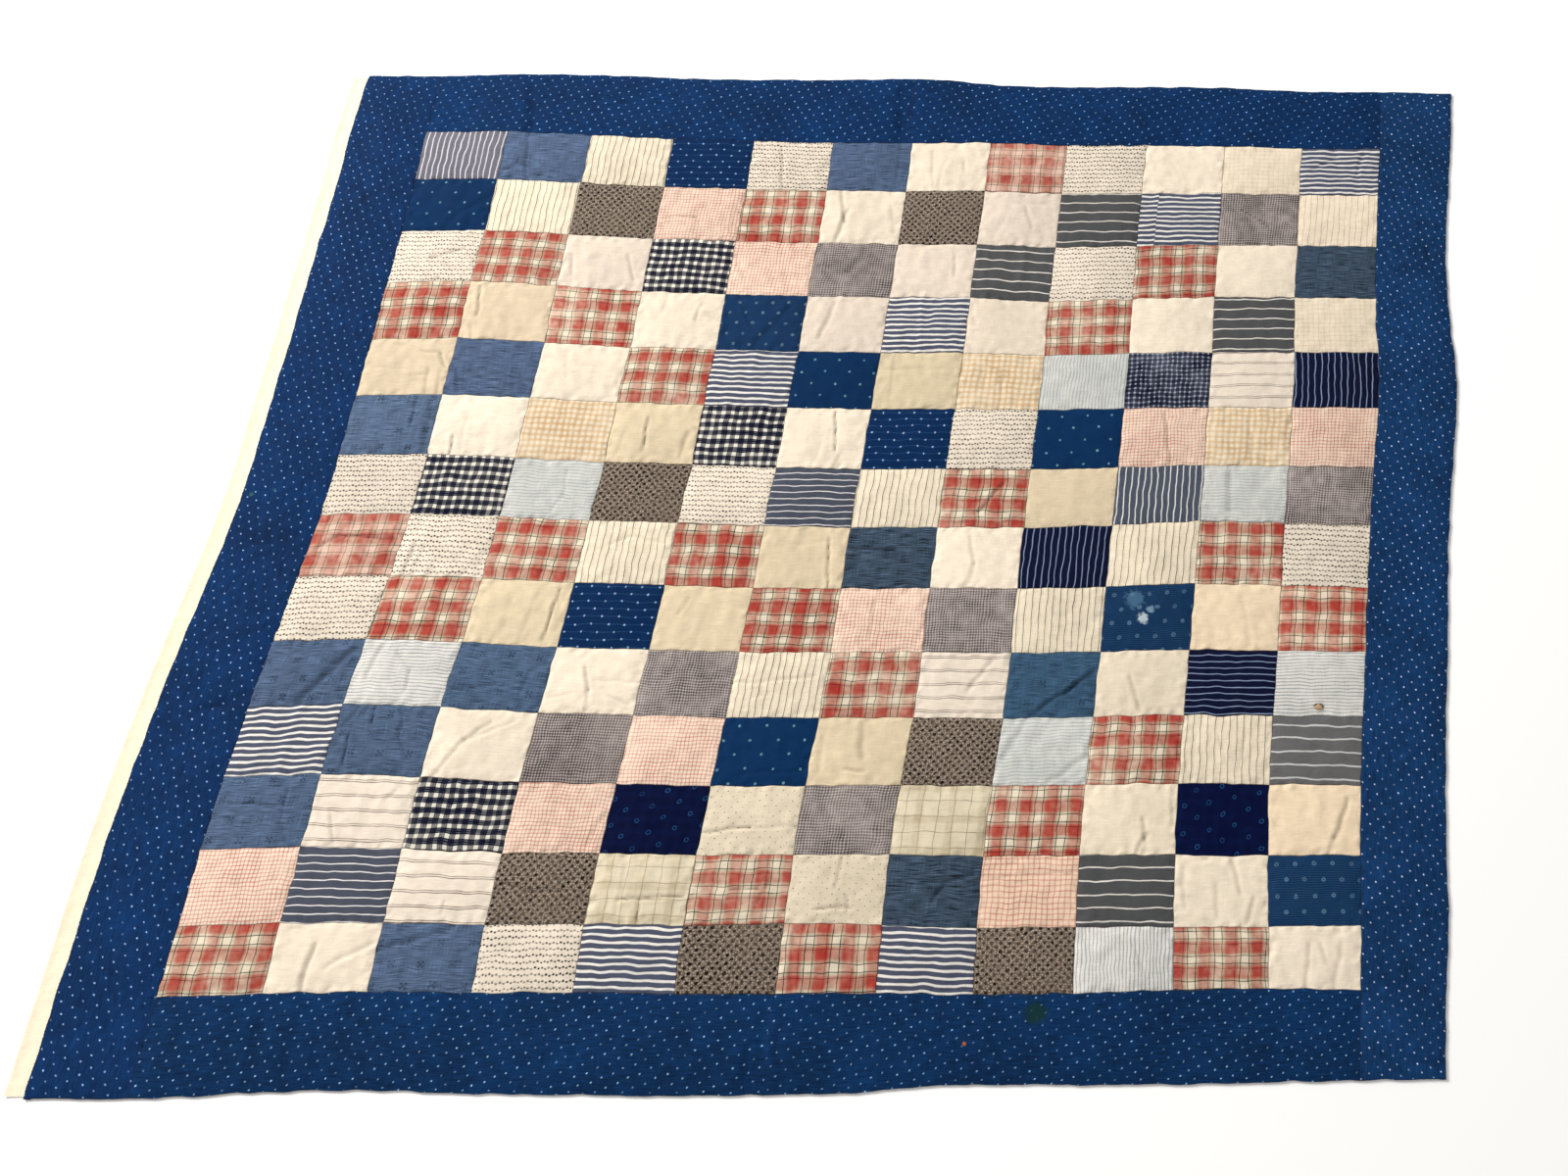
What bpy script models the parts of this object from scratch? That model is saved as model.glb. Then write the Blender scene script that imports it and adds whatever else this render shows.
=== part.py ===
"""A pieced scrap quilt, lying flat: twelve by fourteen patches inside a pin-dot border, on a plain backing.

Metres, +Z up. The origin is on the surface that the quilt lies on, under the middle of its outline.
Places on the cloth are counted in seams: "across" runs 0 to 12 over the patchwork from its left side,
"down" runs 0 to 14 from its top, and each border takes one more count on its side.
"""

import math

import bmesh
import bpy
import numpy as np

# The patchwork: one row for each patch column, left to right: width, and how far its left seam rides up.
COLUMNS = (
    (0.141, 0.004),
    (0.145, 0.009),
    (0.144, 0.006),
    (0.141, 0.001),
    (0.138, 0.000),
    (0.138, -0.002),
    (0.138, 0.000),
    (0.135, 0.004),
    (0.139, 0.004),
    (0.138, 0.008),
    (0.135, 0.013),
    (0.136, 0.014),
)
LAST_COLUMN_RISE = 0.015

# One row for each patch row, top to bottom: height, and how far its top seam drifts to the right.
ROWS = (
    (0.102, 0.062),
    (0.108, 0.054),
    (0.105, 0.045),
    (0.107, 0.037),
    (0.104, 0.030),
    (0.108, 0.020),
    (0.103, 0.011),
    (0.105, 0.000),
    (0.106, -0.011),
    (0.104, -0.023),
    (0.105, -0.036),
    (0.104, -0.048),
    (0.103, -0.058),
    (0.092, -0.065),
)
LAST_ROW_DRIFT = -0.069
BORDER_DRIFT = 0.010  # how much further each end border leans

# How the whole patchwork is pulled out of square. "across" and "up" are powers of the place,
# counted from -1 to 1 over the patchwork; "right" and "rise" are metres at its corner.
PULLS = (
    # across, up, right, rise
    (1, 2, 0.0105, 0.0015),
    (2, 1, 0.0038, 0.0047),
    (1, 1, -0.0011, -0.0045),
)

# Places where the cloth lies pushed aside: middle and reach in seams, push in metres.
PUSHES = (
    # across, down, reach, right, rise
    (0.0, 0.0, 1.0, -0.006, -0.001),
    (5.0, 1.6, 1.6, 0.004, 0.002),
    (12.0, 4.8, 1.1, 0.009, 0.002),
    (6.8, 6.4, 1.8, -0.005, -0.004),
    (0.4, 6.8, 1.5, 0.005, 0.000),
    (1.2, 10.0, 1.3, -0.005, 0.004),
    (7.5, 9.8, 1.2, 0.006, -0.002),
    (4.4, 13.2, 1.4, -0.004, 0.005),
    (6.2, 13.0, 0.9, 0.002, 0.006),
    (0.6, 13.9, 1.3, 0.003, -0.009),
    (11.2, 0.0, 1.2, -0.001, -0.007),
    (6.5, 0.0, 1.8, 0.002, 0.005),
    (1.0, 3.0, 1.1, -0.001, 0.006),
    (8.0, 3.0, 1.1, -0.003, -0.006),
    (10.2, 7.2, 1.1, 0.001, 0.006),
    (11.0, 14.0, 1.2, 0.002, 0.006),
    (10.5, 12.8, 1.0, 0.002, -0.006),
    (12.2, 14.2, 0.9, -0.010, 0.001),
)

# Border widths: the place along the side in seams, and the width there.
LEFT_BORDER = ((-1.0, 0.133), (3.0, 0.136), (7.0, 0.135), (9.0, 0.139), (15.0, 0.141))
RIGHT_BORDER = ((-1.0, 0.129), (2.0, 0.120), (4.6, 0.129), (8.0, 0.126), (12.0, 0.126), (15.0, 0.121))
TOP_BORDER = ((-1.0, 0.122), (3.0, 0.135), (6.0, 0.143), (7.2, 0.128), (9.0, 0.131), (13.0, 0.125))
BOTTOM_BORDER = (
    (-1.0, 0.136),
    (2.0, 0.130),
    (4.0, 0.135),
    (6.6, 0.133),
    (8.0, 0.119),
    (10.5, 0.126),
    (13.0, 0.117),
)
TOP_BORDER_SEAM = 5.93  # where the two lengths of the top border are joined
BOTTOM_BORDER_SEAM = 5.98  # and of the bottom border

# Thicknesses, as heights above the surface.
BACKING_TOP = 0.0010
GAP = 0.0003
UNDERSIDE = BACKING_TOP + GAP
SEAM_HEIGHT = 0.0034
PATCH_CROWN = 0.0026
RIM_HEIGHT = 0.0028
BORDER_CROWN = 0.0022
BORDER_DITCH = 0.0014  # how far the cloth dips where two borders are sewn together
DITCH_HALF_WIDTH = 0.012
CROWN_FULLNESS = 0.5  # smaller is a fuller, flatter crown
RIM_SHARPNESS = 6  # larger keeps the fall to the rim closer to it

# The soft unevenness of the filling: a few long waves.
SWELL_HEIGHT = 0.0009
SWELL_COUNT = 9
SWELL_LENGTHS = (0.09, 0.30)
SWELL_SEED = 7

# The backing shows beyond the left border, and is turned in on the three other sides.
BACKING_BEYOND_LEFT = 0.027
BACKING_TURNED_IN = 0.0025

SHARP_EDGE = math.radians(40)

# Where the grid lines of a patch lie between its seams, and those of a border between seam and rim.
PATCH_LINES = (0.0, 0.12, 0.37, 0.63, 0.88)
BORDER_LINES = (0.0, 0.1, 0.38, 0.68, 0.93, 1.0)

# The main creases: both ends in seams, half width and depth in metres. A negative depth is a ridge.
CREASES = (
    # across, down, to across, to down, half width, depth
    (1.28, -0.95, 1.32, 1.0, 0.016, 0.0011),
    (5.84, -0.95, 5.82, 1.0, 0.014, 0.0010),
    (5.98, 14.05, 5.88, 14.95, 0.016, 0.0014),
    (5.65, 14.35, 5.52, 14.95, 0.016, 0.0012),
    (0.95, 14.1, 0.90, 14.9, 0.020, 0.0010),
    (12.40, 14.80, 12.95, 14.68, 0.012, 0.0012),
    (12.12, 3.75, 12.60, 3.60, 0.014, 0.0010),
    (0.15, 9.75, 0.85, 9.15, 0.016, -0.0012),
    (0.60, 10.40, 1.75, 10.60, 0.014, 0.0011),
    (7.35, 6.45, 7.75, 6.75, 0.014, 0.0012),
    (8.15, 9.65, 8.85, 9.35, 0.014, -0.0010),
    (7.2, 12.4, 7.9, 12.7, 0.014, 0.0010),
    (5.2, 10.5, 5.8, 10.7, 0.012, 0.0009),
    (-0.85, 6.95, 0.05, 7.10, 0.014, 0.0009),
)


def start_empty():
    """Remove what the file holds, so that only the quilt is in it."""
    for thing in list(bpy.data.objects):
        bpy.data.objects.remove(thing, do_unlink=True)


def cloth_material(name, colour):
    """A matt, washed cotton."""
    material = bpy.data.materials.new(name)
    material.use_nodes = True
    shader = material.node_tree.nodes["Principled BSDF"]
    shader.inputs["Base Color"].default_value = (*colour, 1.0)
    shader.inputs["Roughness"].default_value = 0.9
    shader.inputs["Metallic"].default_value = 0.0
    material.diffuse_color = (*colour, 1.0)
    return material


def eased(table, place):
    """Read a table of (place, value) rows, easing softly from one row to the next."""
    if place <= table[0][0]:
        return table[0][1]
    for (start, before), (end, after) in zip(table, table[1:]):
        if place <= end:
            part = (place - start) / (end - start)
            return before + (after - before) * part * part * (3 - 2 * part)
    return table[-1][1]


def running_totals(lengths):
    """Places of the seams along a row of lengths, starting at zero."""
    return np.concatenate(([0.0], np.cumsum(lengths)))


COLUMN_SEAMS = running_totals([width for width, _ in COLUMNS])
ROW_SEAMS = running_totals([height for height, _ in ROWS])
COLUMN_RISES = [rise for _, rise in COLUMNS] + [LAST_COLUMN_RISE]
ROW_DRIFTS = [drift for _, drift in ROWS] + [LAST_ROW_DRIFT]
ACROSS = len(COLUMNS)
DOWN = len(ROWS)
PATCH_WIDTH = COLUMN_SEAMS[-1] / ACROSS


def patchwork_place(across, down):
    """Where a point of the patchwork lies, before the borders are added: x to the right, y up."""
    seams_across = range(ACROSS + 1)
    seams_down = range(DOWN + 1)
    x = np.interp(across, seams_across, COLUMN_SEAMS) - COLUMN_SEAMS[-1] / 2
    y = ROW_SEAMS[-1] / 2 - np.interp(down, seams_down, ROW_SEAMS)
    x += np.interp(down, seams_down, ROW_DRIFTS)
    y += np.interp(across, seams_across, COLUMN_RISES)
    side = across / (ACROSS / 2) - 1
    up = 1 - down / (DOWN / 2)
    for across_power, up_power, right, rise in PULLS:
        amount = side**across_power * up**up_power
        x += right * amount
        y += rise * amount
    for middle_across, middle_down, reach, right, rise in PUSHES:
        far = ((across - middle_across) ** 2 + (down - middle_down) ** 2) / reach**2
        x += right * math.exp(-far)
        y += rise * math.exp(-far)
    return x, y


def cloth_place(across, down):
    """Where a point of the quilt top lies, borders included."""
    inner_across = min(max(across, 0.0), ACROSS)
    inner_down = min(max(down, 0.0), DOWN)
    x, y = patchwork_place(inner_across, inner_down)
    over_top = max(-down, 0.0)
    under_bottom = max(down - DOWN, 0.0)
    x += BORDER_DRIFT * (over_top - under_bottom)
    y += over_top * eased(TOP_BORDER, across) - under_bottom * eased(BOTTOM_BORDER, across)
    x += max(across - ACROSS, 0.0) * eased(RIGHT_BORDER, down)
    x -= max(-across, 0.0) * eased(LEFT_BORDER, down)
    return x, y


def swell_waves():
    """A few long waves of the filling, always the same ones."""
    draw = np.random.default_rng(SWELL_SEED)
    lengths = draw.uniform(*SWELL_LENGTHS, SWELL_COUNT)
    turns = draw.uniform(0, math.tau, SWELL_COUNT)
    starts = draw.uniform(0, math.tau, SWELL_COUNT)
    return list(zip(math.tau / lengths, turns, starts))


SWELLS = swell_waves()


def swell(x, y):
    """Soft unevenness of the filling, about SWELL_HEIGHT up and down."""
    total = 0.0
    for rate, turn, start in SWELLS:
        total += math.sin(rate * (x * math.cos(turn) + y * math.sin(turn)) + start)
    return SWELL_HEIGHT * total / math.sqrt(len(SWELLS))


def crease_depth(x, y):
    """How far the creases press the cloth down at a place."""
    depth = 0.0
    for across, down, to_across, to_down, half_width, deep in CREASES:
        start = np.array(cloth_place(across, down))
        run = np.array(cloth_place(to_across, to_down)) - start
        offset = np.array((x, y)) - start
        part = min(max(offset @ run / (run @ run), 0.0), 1.0)
        far = np.linalg.norm(offset - part * run) / half_width
        depth += deep * math.exp(-far * far)
    return depth


def hump(part):
    """0 on a seam and 1 in the middle, for a place between two seams counted 0 to 1."""
    return (4 * part * (1 - part)) ** CROWN_FULLNESS if 0 < part < 1 else 0.0


def border_loft(part):
    """Height of a border over the seam height: low at the seam (0), full, then down to the rim (1)."""
    rim_drop = (RIM_HEIGHT - SEAM_HEIGHT) * part**RIM_SHARPNESS
    return rim_drop + BORDER_CROWN * hump(part)


def border_ditch(across, down):
    """How far the seams between two borders draw the cloth down at a place."""
    depth = 0.0
    for in_border, join in ((down < 0, TOP_BORDER_SEAM), (down > DOWN, BOTTOM_BORDER_SEAM)):
        if in_border:
            near = min(abs(across - seam) for seam in (0, join, ACROSS)) * PATCH_WIDTH
            depth += BORDER_DITCH * math.exp(-((near / DITCH_HALF_WIDTH) ** 2))
    return depth


def cloth_height(across, down):
    """Height of the top face of the quilt above the surface."""
    x, y = cloth_place(across, down)
    out_across = max(-across, across - ACROSS, 0.0)
    out_down = max(-down, down - DOWN, 0.0)
    out = max(out_across, out_down)
    if out > 0:
        height = SEAM_HEIGHT + border_loft(out)
    else:
        height = SEAM_HEIGHT + PATCH_CROWN * hump(across % 1) * hump(down % 1)
    inside = 1 - out**RIM_SHARPNESS
    return height + inside * (swell(x, y) - crease_depth(x, y) - border_ditch(across, down))


def patch_lines(first, last):
    """Grid lines over a run of patches, closer beside the seams."""
    lines = [seam + part for seam in range(first, last) for part in PATCH_LINES]
    return lines + [float(last)]


def border_lines(seam, outward):
    """Grid lines from a seam to the rim; outward is -1 towards the left or the top, else 1."""
    lines = [seam + outward * part for part in BORDER_LINES]
    return sorted(lines)


def lines_beside(first, last):
    """Grid lines along a border, the same as those of the patches beside it."""
    return [line for line in patch_lines(0, ACROSS) if first < line < last]


def drawn_in(place, lines, x_or_y_step):
    """The small step that keeps a piece clear of its neighbour at the first and last line."""
    if place == lines[0]:
        return x_or_y_step * GAP / 2
    if place == lines[-1]:
        return -x_or_y_step * GAP / 2
    return 0.0


def quilt_piece(name, across_lines, down_lines, material):
    """A closed solid: the cloth's uneven top face, its edges, and a flat underside."""
    shape = bmesh.new()
    top = []
    for down in down_lines:
        row = []
        for across in across_lines:
            x, y = cloth_place(across, down)
            x += drawn_in(across, across_lines, 1)
            y += drawn_in(down, down_lines, -1)
            row.append(shape.verts.new((x, y, cloth_height(across, down))))
        top.append(row)
    for upper, lower in zip(top, top[1:]):
        for left in range(len(across_lines) - 1):
            shape.faces.new((upper[left], lower[left], lower[left + 1], upper[left + 1]))
    rim = [edge for edge in shape.edges if edge.is_boundary]
    walls = bmesh.ops.extrude_edge_only(shape, edges=rim)
    foot = [part for part in walls["geom"] if isinstance(part, bmesh.types.BMVert)]
    for vertex in foot:
        vertex.co.z = UNDERSIDE
    foot_edges = [edge for edge in shape.edges if edge.is_boundary]
    bmesh.ops.contextual_create(shape, geom=foot_edges)
    bmesh.ops.recalc_face_normals(shape, faces=shape.faces)
    return finished(name, shape, material)


def finished(name, shape, material):
    """Turn a shape into an object of its own, smooth on its soft faces."""
    mesh = bpy.data.meshes.new(name)
    shape.to_mesh(mesh)
    shape.free()
    mesh.shade_smooth()
    mesh.set_sharp_from_angle(angle=SHARP_EDGE)
    mesh.materials.append(material)
    piece = bpy.data.objects.new(name, mesh)
    bpy.context.scene.collection.objects.link(piece)
    return piece


def backing_outline():
    """The backing's edge, anticlockwise from the top left corner."""
    downs = np.linspace(-1, DOWN + 1, 2 * (DOWN + 2) + 1)
    acrosses = np.linspace(-1, ACROSS + 1, 2 * (ACROSS + 2) + 1)
    inset = BACKING_TURNED_IN
    left = [(x - BACKING_BEYOND_LEFT, y) for x, y in (cloth_place(-1, down) for down in downs)]
    bottom = [(x, y + inset) for x, y in (cloth_place(across, DOWN + 1) for across in acrosses[1:-1])]
    right = [(x - inset, y) for x, y in (cloth_place(ACROSS + 1, down) for down in reversed(downs))]
    top = [(x, y - inset) for x, y in (cloth_place(across, -1) for across in reversed(acrosses[1:-1]))]
    left[0] = (left[0][0], left[0][1] - inset)
    left[-1] = (left[-1][0], left[-1][1] + inset)
    right[0] = (right[0][0], right[0][1] + inset)
    right[-1] = (right[-1][0], right[-1][1] - inset)
    return left + bottom + right + top


def make_backing(material):
    """One flat cloth under the whole quilt, wider than the quilt on its left side."""
    shape = bmesh.new()
    corners = [shape.verts.new((x, y, BACKING_TOP)) for x, y in backing_outline()]
    face = shape.faces.new(corners)
    under = bmesh.ops.extrude_face_region(shape, geom=[face])
    for part in under["geom"]:
        if isinstance(part, bmesh.types.BMVert):
            part.co.z = 0.0
    bmesh.ops.recalc_face_normals(shape, faces=shape.faces)
    return finished("backing", shape, material)


def make_quilt():
    """All the pieces, each in its own cloth."""
    scraps = cloth_material("scrap_cotton", (0.55, 0.48, 0.42))
    indigo = cloth_material("indigo_pin_dot", (0.012, 0.05, 0.16))
    muslin = cloth_material("cream_muslin", (0.83, 0.76, 0.62))
    top_lines = border_lines(0, -1)
    bottom_lines = border_lines(DOWN, 1)
    whole_height = top_lines + patch_lines(0, DOWN)[1:] + bottom_lines[1:]
    pieces = [make_backing(muslin)]
    pieces.append(quilt_piece("patchwork", patch_lines(0, ACROSS), patch_lines(0, DOWN), scraps))
    pieces.append(quilt_piece("border_left", border_lines(0, -1), whole_height, indigo))
    pieces.append(quilt_piece("border_right", border_lines(ACROSS, 1), whole_height, indigo))
    for name, seam, lines in (
        ("top", TOP_BORDER_SEAM, top_lines),
        ("bottom", BOTTOM_BORDER_SEAM, bottom_lines),
    ):
        first = [0.0] + lines_beside(0, seam) + [seam]
        second = [seam] + lines_beside(seam, ACROSS) + [float(ACROSS)]
        pieces.append(quilt_piece(f"border_{name}_first", first, lines, indigo))
        pieces.append(quilt_piece(f"border_{name}_second", second, lines, indigo))
    return pieces


def centre(pieces):
    """Put the origin under the middle of the outline."""
    points = np.array([vertex.co for piece in pieces for vertex in piece.data.vertices])
    middle = (points.min(axis=0) + points.max(axis=0)) / 2
    for piece in pieces:
        for vertex in piece.data.vertices:
            vertex.co.x -= middle[0]
            vertex.co.y -= middle[1]


start_empty()
centre(make_quilt())
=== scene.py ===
# %% [markdown]
# # A pieced scrap quilt
# The quilt is a top of 168 small cotton patches, sewn edge to edge and framed by wide dark blue borders
# with pin dots. Under it lies one plain cream backing, which shows as a strip on the left.
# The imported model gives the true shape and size. This lesson dresses it: every patch becomes its own
# thin sheet of cloth with its own print, lying on the soft form that the model gives.

# %% Load the frame
import math
from functools import partial

import bmesh
import bpy
import numpy as np
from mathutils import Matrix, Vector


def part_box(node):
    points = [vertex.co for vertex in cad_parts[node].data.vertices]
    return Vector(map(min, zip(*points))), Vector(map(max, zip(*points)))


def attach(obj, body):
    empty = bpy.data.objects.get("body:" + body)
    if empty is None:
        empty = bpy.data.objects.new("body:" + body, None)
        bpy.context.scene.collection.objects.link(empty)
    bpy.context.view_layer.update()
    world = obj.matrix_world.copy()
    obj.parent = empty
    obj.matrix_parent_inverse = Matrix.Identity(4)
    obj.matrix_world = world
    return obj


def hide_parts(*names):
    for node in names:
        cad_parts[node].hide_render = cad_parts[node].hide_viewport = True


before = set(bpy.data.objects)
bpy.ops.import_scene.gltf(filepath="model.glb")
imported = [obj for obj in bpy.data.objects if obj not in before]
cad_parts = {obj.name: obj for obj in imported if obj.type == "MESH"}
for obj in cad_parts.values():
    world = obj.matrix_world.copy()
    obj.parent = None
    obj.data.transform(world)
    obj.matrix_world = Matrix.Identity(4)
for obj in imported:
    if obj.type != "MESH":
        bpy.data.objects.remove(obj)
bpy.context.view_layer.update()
print("nodes in the frame:", sorted(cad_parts))

# %% [markdown]
# ## Camera, floor and light
# The photograph looks down at the quilt from above its near edge. A straight-down view would show the
# borders even all round, so the camera stands nearer the viewer and tilts by 21 degrees. The light is one
# broad soft lamp from the upper left and a pale sky, as under a studio ceiling: it is low enough to let
# every pucker throw a little shade, and broad enough to leave no hard shadow.

# %% Camera
CAMERA_PLACE = (0.2783, -0.9033, 2.0546)
CAMERA_TURN = (21.163, -0.604, 0.813)  # degrees about X, Y and Z
LENS = 32.4
SIDE_SHIFT = -0.145

camera = bpy.data.objects.new("camera", bpy.data.cameras.new("camera"))
camera.location = CAMERA_PLACE
camera.rotation_euler = [math.radians(angle) for angle in CAMERA_TURN]
camera.data.lens = LENS
camera.data.shift_x = SIDE_SHIFT
bpy.context.scene.collection.objects.link(camera)
bpy.context.scene.camera = camera
print("camera stands", round(CAMERA_PLACE[2], 2), "m above the floor")

# %% [markdown]
# The floor is one wide white sheet just under the backing. The lamp and the sky share the light: more of
# the lamp deepens the shade beside the puckers, and more of the sky lifts it.

# %% Floor and light
FLOOR_SIZE = 12.0
FLOOR_DROP = 0.0004  # the floor stays this far under the backing
FLOOR_WHITE = 0.99
SKY_COLOUR = (1.0, 0.99, 0.97)
SKY_STRENGTH = 0.52
LAMP_PLACE = (-5.2, 3.6, 3.7)
LAMP_SIZE = 2.4
LAMP_COLOUR = (1.0, 0.975, 0.94)
LAMP_POWER = 765


def plain_finish(name, colour, roughness):
    """A single matt colour, for the floor, a thread or the filling."""
    material = bpy.data.materials.new(name)
    material.use_nodes = True
    shader = material.node_tree.nodes["Principled BSDF"]
    shader.inputs["Base Color"].default_value = (*colour, 1)
    shader.inputs["Roughness"].default_value = roughness
    return material


bpy.ops.object.select_all(action="DESELECT")
bpy.ops.mesh.primitive_plane_add(size=FLOOR_SIZE, location=(0, 0, -FLOOR_DROP))
floor = bpy.context.object
floor.name = "floor"
floor.data.materials.append(plain_finish("pale_floor", (FLOOR_WHITE,) * 3, 0.9))

sky = bpy.data.worlds.new("pale_sky")
sky.use_nodes = True
sky.node_tree.nodes["Background"].inputs["Color"].default_value = (*SKY_COLOUR, 1)
sky.node_tree.nodes["Background"].inputs["Strength"].default_value = SKY_STRENGTH
bpy.context.scene.world = sky

lamp = bpy.data.objects.new("broad_lamp", bpy.data.lights.new("broad_lamp", "AREA"))
lamp.data.size = LAMP_SIZE
lamp.data.energy = LAMP_POWER
lamp.data.color = LAMP_COLOUR
lamp.location = LAMP_PLACE
lamp.rotation_euler = (-lamp.location).to_track_quat("-Z", "Y").to_euler()
bpy.context.scene.collection.objects.link(lamp)
bpy.context.scene.view_settings.view_transform = "Standard"
print("lamp power", LAMP_POWER, "W")

# %% [markdown]
# ## How the cloth lies
# Places on the quilt are counted in seams. "Across" runs 0 to 12 over the patchwork from its left side
# and "down" runs 0 to 14 from its top. Each border takes one more count on its side. One function turns
# such a place into metres. It knows the width of each column, the height of each row, how the rows drift
# sideways, because the quilt lies a little askew, and where the cloth is pushed out of line. The tables
# repeat those of the solid model, so that each sheet lies exactly on its solid.

# %% Tables of the lay
def metres(*sizes):
    """Sizes in millimetres as metres."""
    return tuple(size / 1000 for size in sizes)


COLUMN_WIDTHS = metres(141, 145, 144, 141, 138, 138, 138, 135, 139, 138, 135, 136)
COLUMN_RISES = metres(4, 9, 6, 1, 0, -2, 0, 4, 4, 8, 13, 14, 15)
ROW_HEIGHTS = metres(102, 108, 105, 107, 104, 108, 103, 105, 106, 104, 105, 104, 103, 92)
ROW_DRIFTS = metres(62, 54, 45, 37, 30, 20, 11, 0, -11, -23, -36, -48, -58, -65, -69)
BORDER_DRIFT = 0.010
PULLS = (
    # power across, power up, right, rise
    (1, 2, 0.0105, 0.0015),
    (2, 1, 0.0038, 0.0047),
    (1, 1, -0.0011, -0.0045),
)
PUSHES = (
    # across, down, reach, right, rise
    (0.0, 0.0, 1.0, -0.006, -0.001),
    (5.0, 1.6, 1.6, 0.004, 0.002),
    (12.0, 4.8, 1.1, 0.009, 0.002),
    (6.8, 6.4, 1.8, -0.005, -0.004),
    (0.4, 6.8, 1.5, 0.005, 0.000),
    (1.2, 10.0, 1.3, -0.005, 0.004),
    (7.5, 9.8, 1.2, 0.006, -0.002),
    (4.4, 13.2, 1.4, -0.004, 0.005),
    (6.2, 13.0, 0.9, 0.002, 0.006),
    (0.6, 13.9, 1.3, 0.003, -0.009),
    (11.2, 0.0, 1.2, -0.001, -0.007),
    (6.5, 0.0, 1.8, 0.002, 0.005),
    (1.0, 3.0, 1.1, -0.001, 0.006),
    (8.0, 3.0, 1.1, -0.003, -0.006),
    (10.2, 7.2, 1.1, 0.001, 0.006),
    (11.0, 14.0, 1.2, 0.002, 0.006),
    (10.5, 12.8, 1.0, 0.002, -0.006),
    (12.2, 14.2, 0.9, -0.010, 0.001),
)
LEFT_BORDER = ((-1.0, 0.133), (3.0, 0.136), (7.0, 0.135), (9.0, 0.139), (15.0, 0.141))
RIGHT_BORDER = ((-1.0, 0.129), (2.0, 0.120), (4.6, 0.129), (8.0, 0.126), (12.0, 0.126), (15.0, 0.121))
TOP_BORDER = ((-1.0, 0.122), (3.0, 0.135), (6.0, 0.143), (7.2, 0.128), (9.0, 0.131), (13.0, 0.125))
BOTTOM_BORDER = (
    (-1.0, 0.136), (2.0, 0.130), (4.0, 0.135), (6.6, 0.133), (8.0, 0.119), (10.5, 0.126), (13.0, 0.117)
)
TOP_BORDER_SEAM = 5.93
BOTTOM_BORDER_SEAM = 5.98
BACKING_BEYOND_LEFT = 0.027
BACKING_TURNED_IN = 0.0025

ACROSS = len(COLUMN_WIDTHS)
DOWN = len(ROW_HEIGHTS)
COLUMN_SEAMS = np.concatenate(([0.0], np.cumsum(COLUMN_WIDTHS)))
ROW_SEAMS = np.concatenate(([0.0], np.cumsum(ROW_HEIGHTS)))
PATCH_WIDTH = COLUMN_SEAMS[-1] / ACROSS
BORDER_WIDTH = 0.13  # near enough to space its lines
print("patchwork of", ACROSS, "by", DOWN, "patches")

# %% [markdown]
# The functions below turn a place that is counted in seams into metres. They read the tables row by row and
# ease from one row to the next, so that no seam has a kink.

# %% The flat place of a point
def eased(table, place):
    """Read a table of (place, value) rows, easing softly from one row to the next."""
    places, values = np.array(table).T
    row = np.clip(np.searchsorted(places, place) - 1, 0, len(table) - 2)
    part = np.clip((place - places[row]) / (places[row + 1] - places[row]), 0, 1)
    return values[row] + (values[row + 1] - values[row]) * part * part * (3 - 2 * part)


def lay_place(across, down):
    """Where a point of the quilt top lies, before it is centred: x to the right and y up, in metres."""
    in_across = np.clip(across, 0, ACROSS)
    in_down = np.clip(down, 0, DOWN)
    x = np.interp(in_across, range(ACROSS + 1), COLUMN_SEAMS) - COLUMN_SEAMS[-1] / 2
    y = ROW_SEAMS[-1] / 2 - np.interp(in_down, range(DOWN + 1), ROW_SEAMS)
    x = x + np.interp(in_down, range(DOWN + 1), ROW_DRIFTS)
    y = y + np.interp(in_across, range(ACROSS + 1), COLUMN_RISES)
    side = in_across / (ACROSS / 2) - 1
    up = 1 - in_down / (DOWN / 2)
    for across_power, up_power, right, rise in PULLS:
        amount = side**across_power * up**up_power
        x = x + right * amount
        y = y + rise * amount
    for middle_across, middle_down, reach, right, rise in PUSHES:
        far = ((in_across - middle_across) ** 2 + (in_down - middle_down) ** 2) / reach**2
        x = x + right * np.exp(-far)
        y = y + rise * np.exp(-far)
    over_top = np.maximum(-down, 0.0)
    under_bottom = np.maximum(down - DOWN, 0.0)
    x = x + BORDER_DRIFT * (over_top - under_bottom)
    y = y + over_top * eased(TOP_BORDER, across) - under_bottom * eased(BOTTOM_BORDER, across)
    x = x + np.maximum(across - ACROSS, 0.0) * eased(RIGHT_BORDER, down)
    x = x - np.maximum(-across, 0.0) * eased(LEFT_BORDER, down)
    return x, y


print("top left corner before centring:", lay_place(0.0, 0.0))

# %% [markdown]
# The model was centred after it was laid, so the same shift is found here by setting the lowest corner of
# the backing's outline against the box that the frame gives for it.

# %% Centre the lay
side_downs = np.linspace(-1, DOWN + 1, 2 * (DOWN + 2) + 1)
end_acrosses = np.linspace(-1, ACROSS + 1, 2 * (ACROSS + 2) + 1)
left_rim = lay_place(np.full_like(side_downs, -1.0), side_downs)
bottom_rim = lay_place(end_acrosses, np.full_like(end_acrosses, DOWN + 1.0))
outline_low = (left_rim[0].min() - BACKING_BEYOND_LEFT, bottom_rim[1].min() + BACKING_TURNED_IN)
backing_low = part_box("backing")[0]
SHIFT = (backing_low[0] - outline_low[0], backing_low[1] - outline_low[1])


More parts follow.
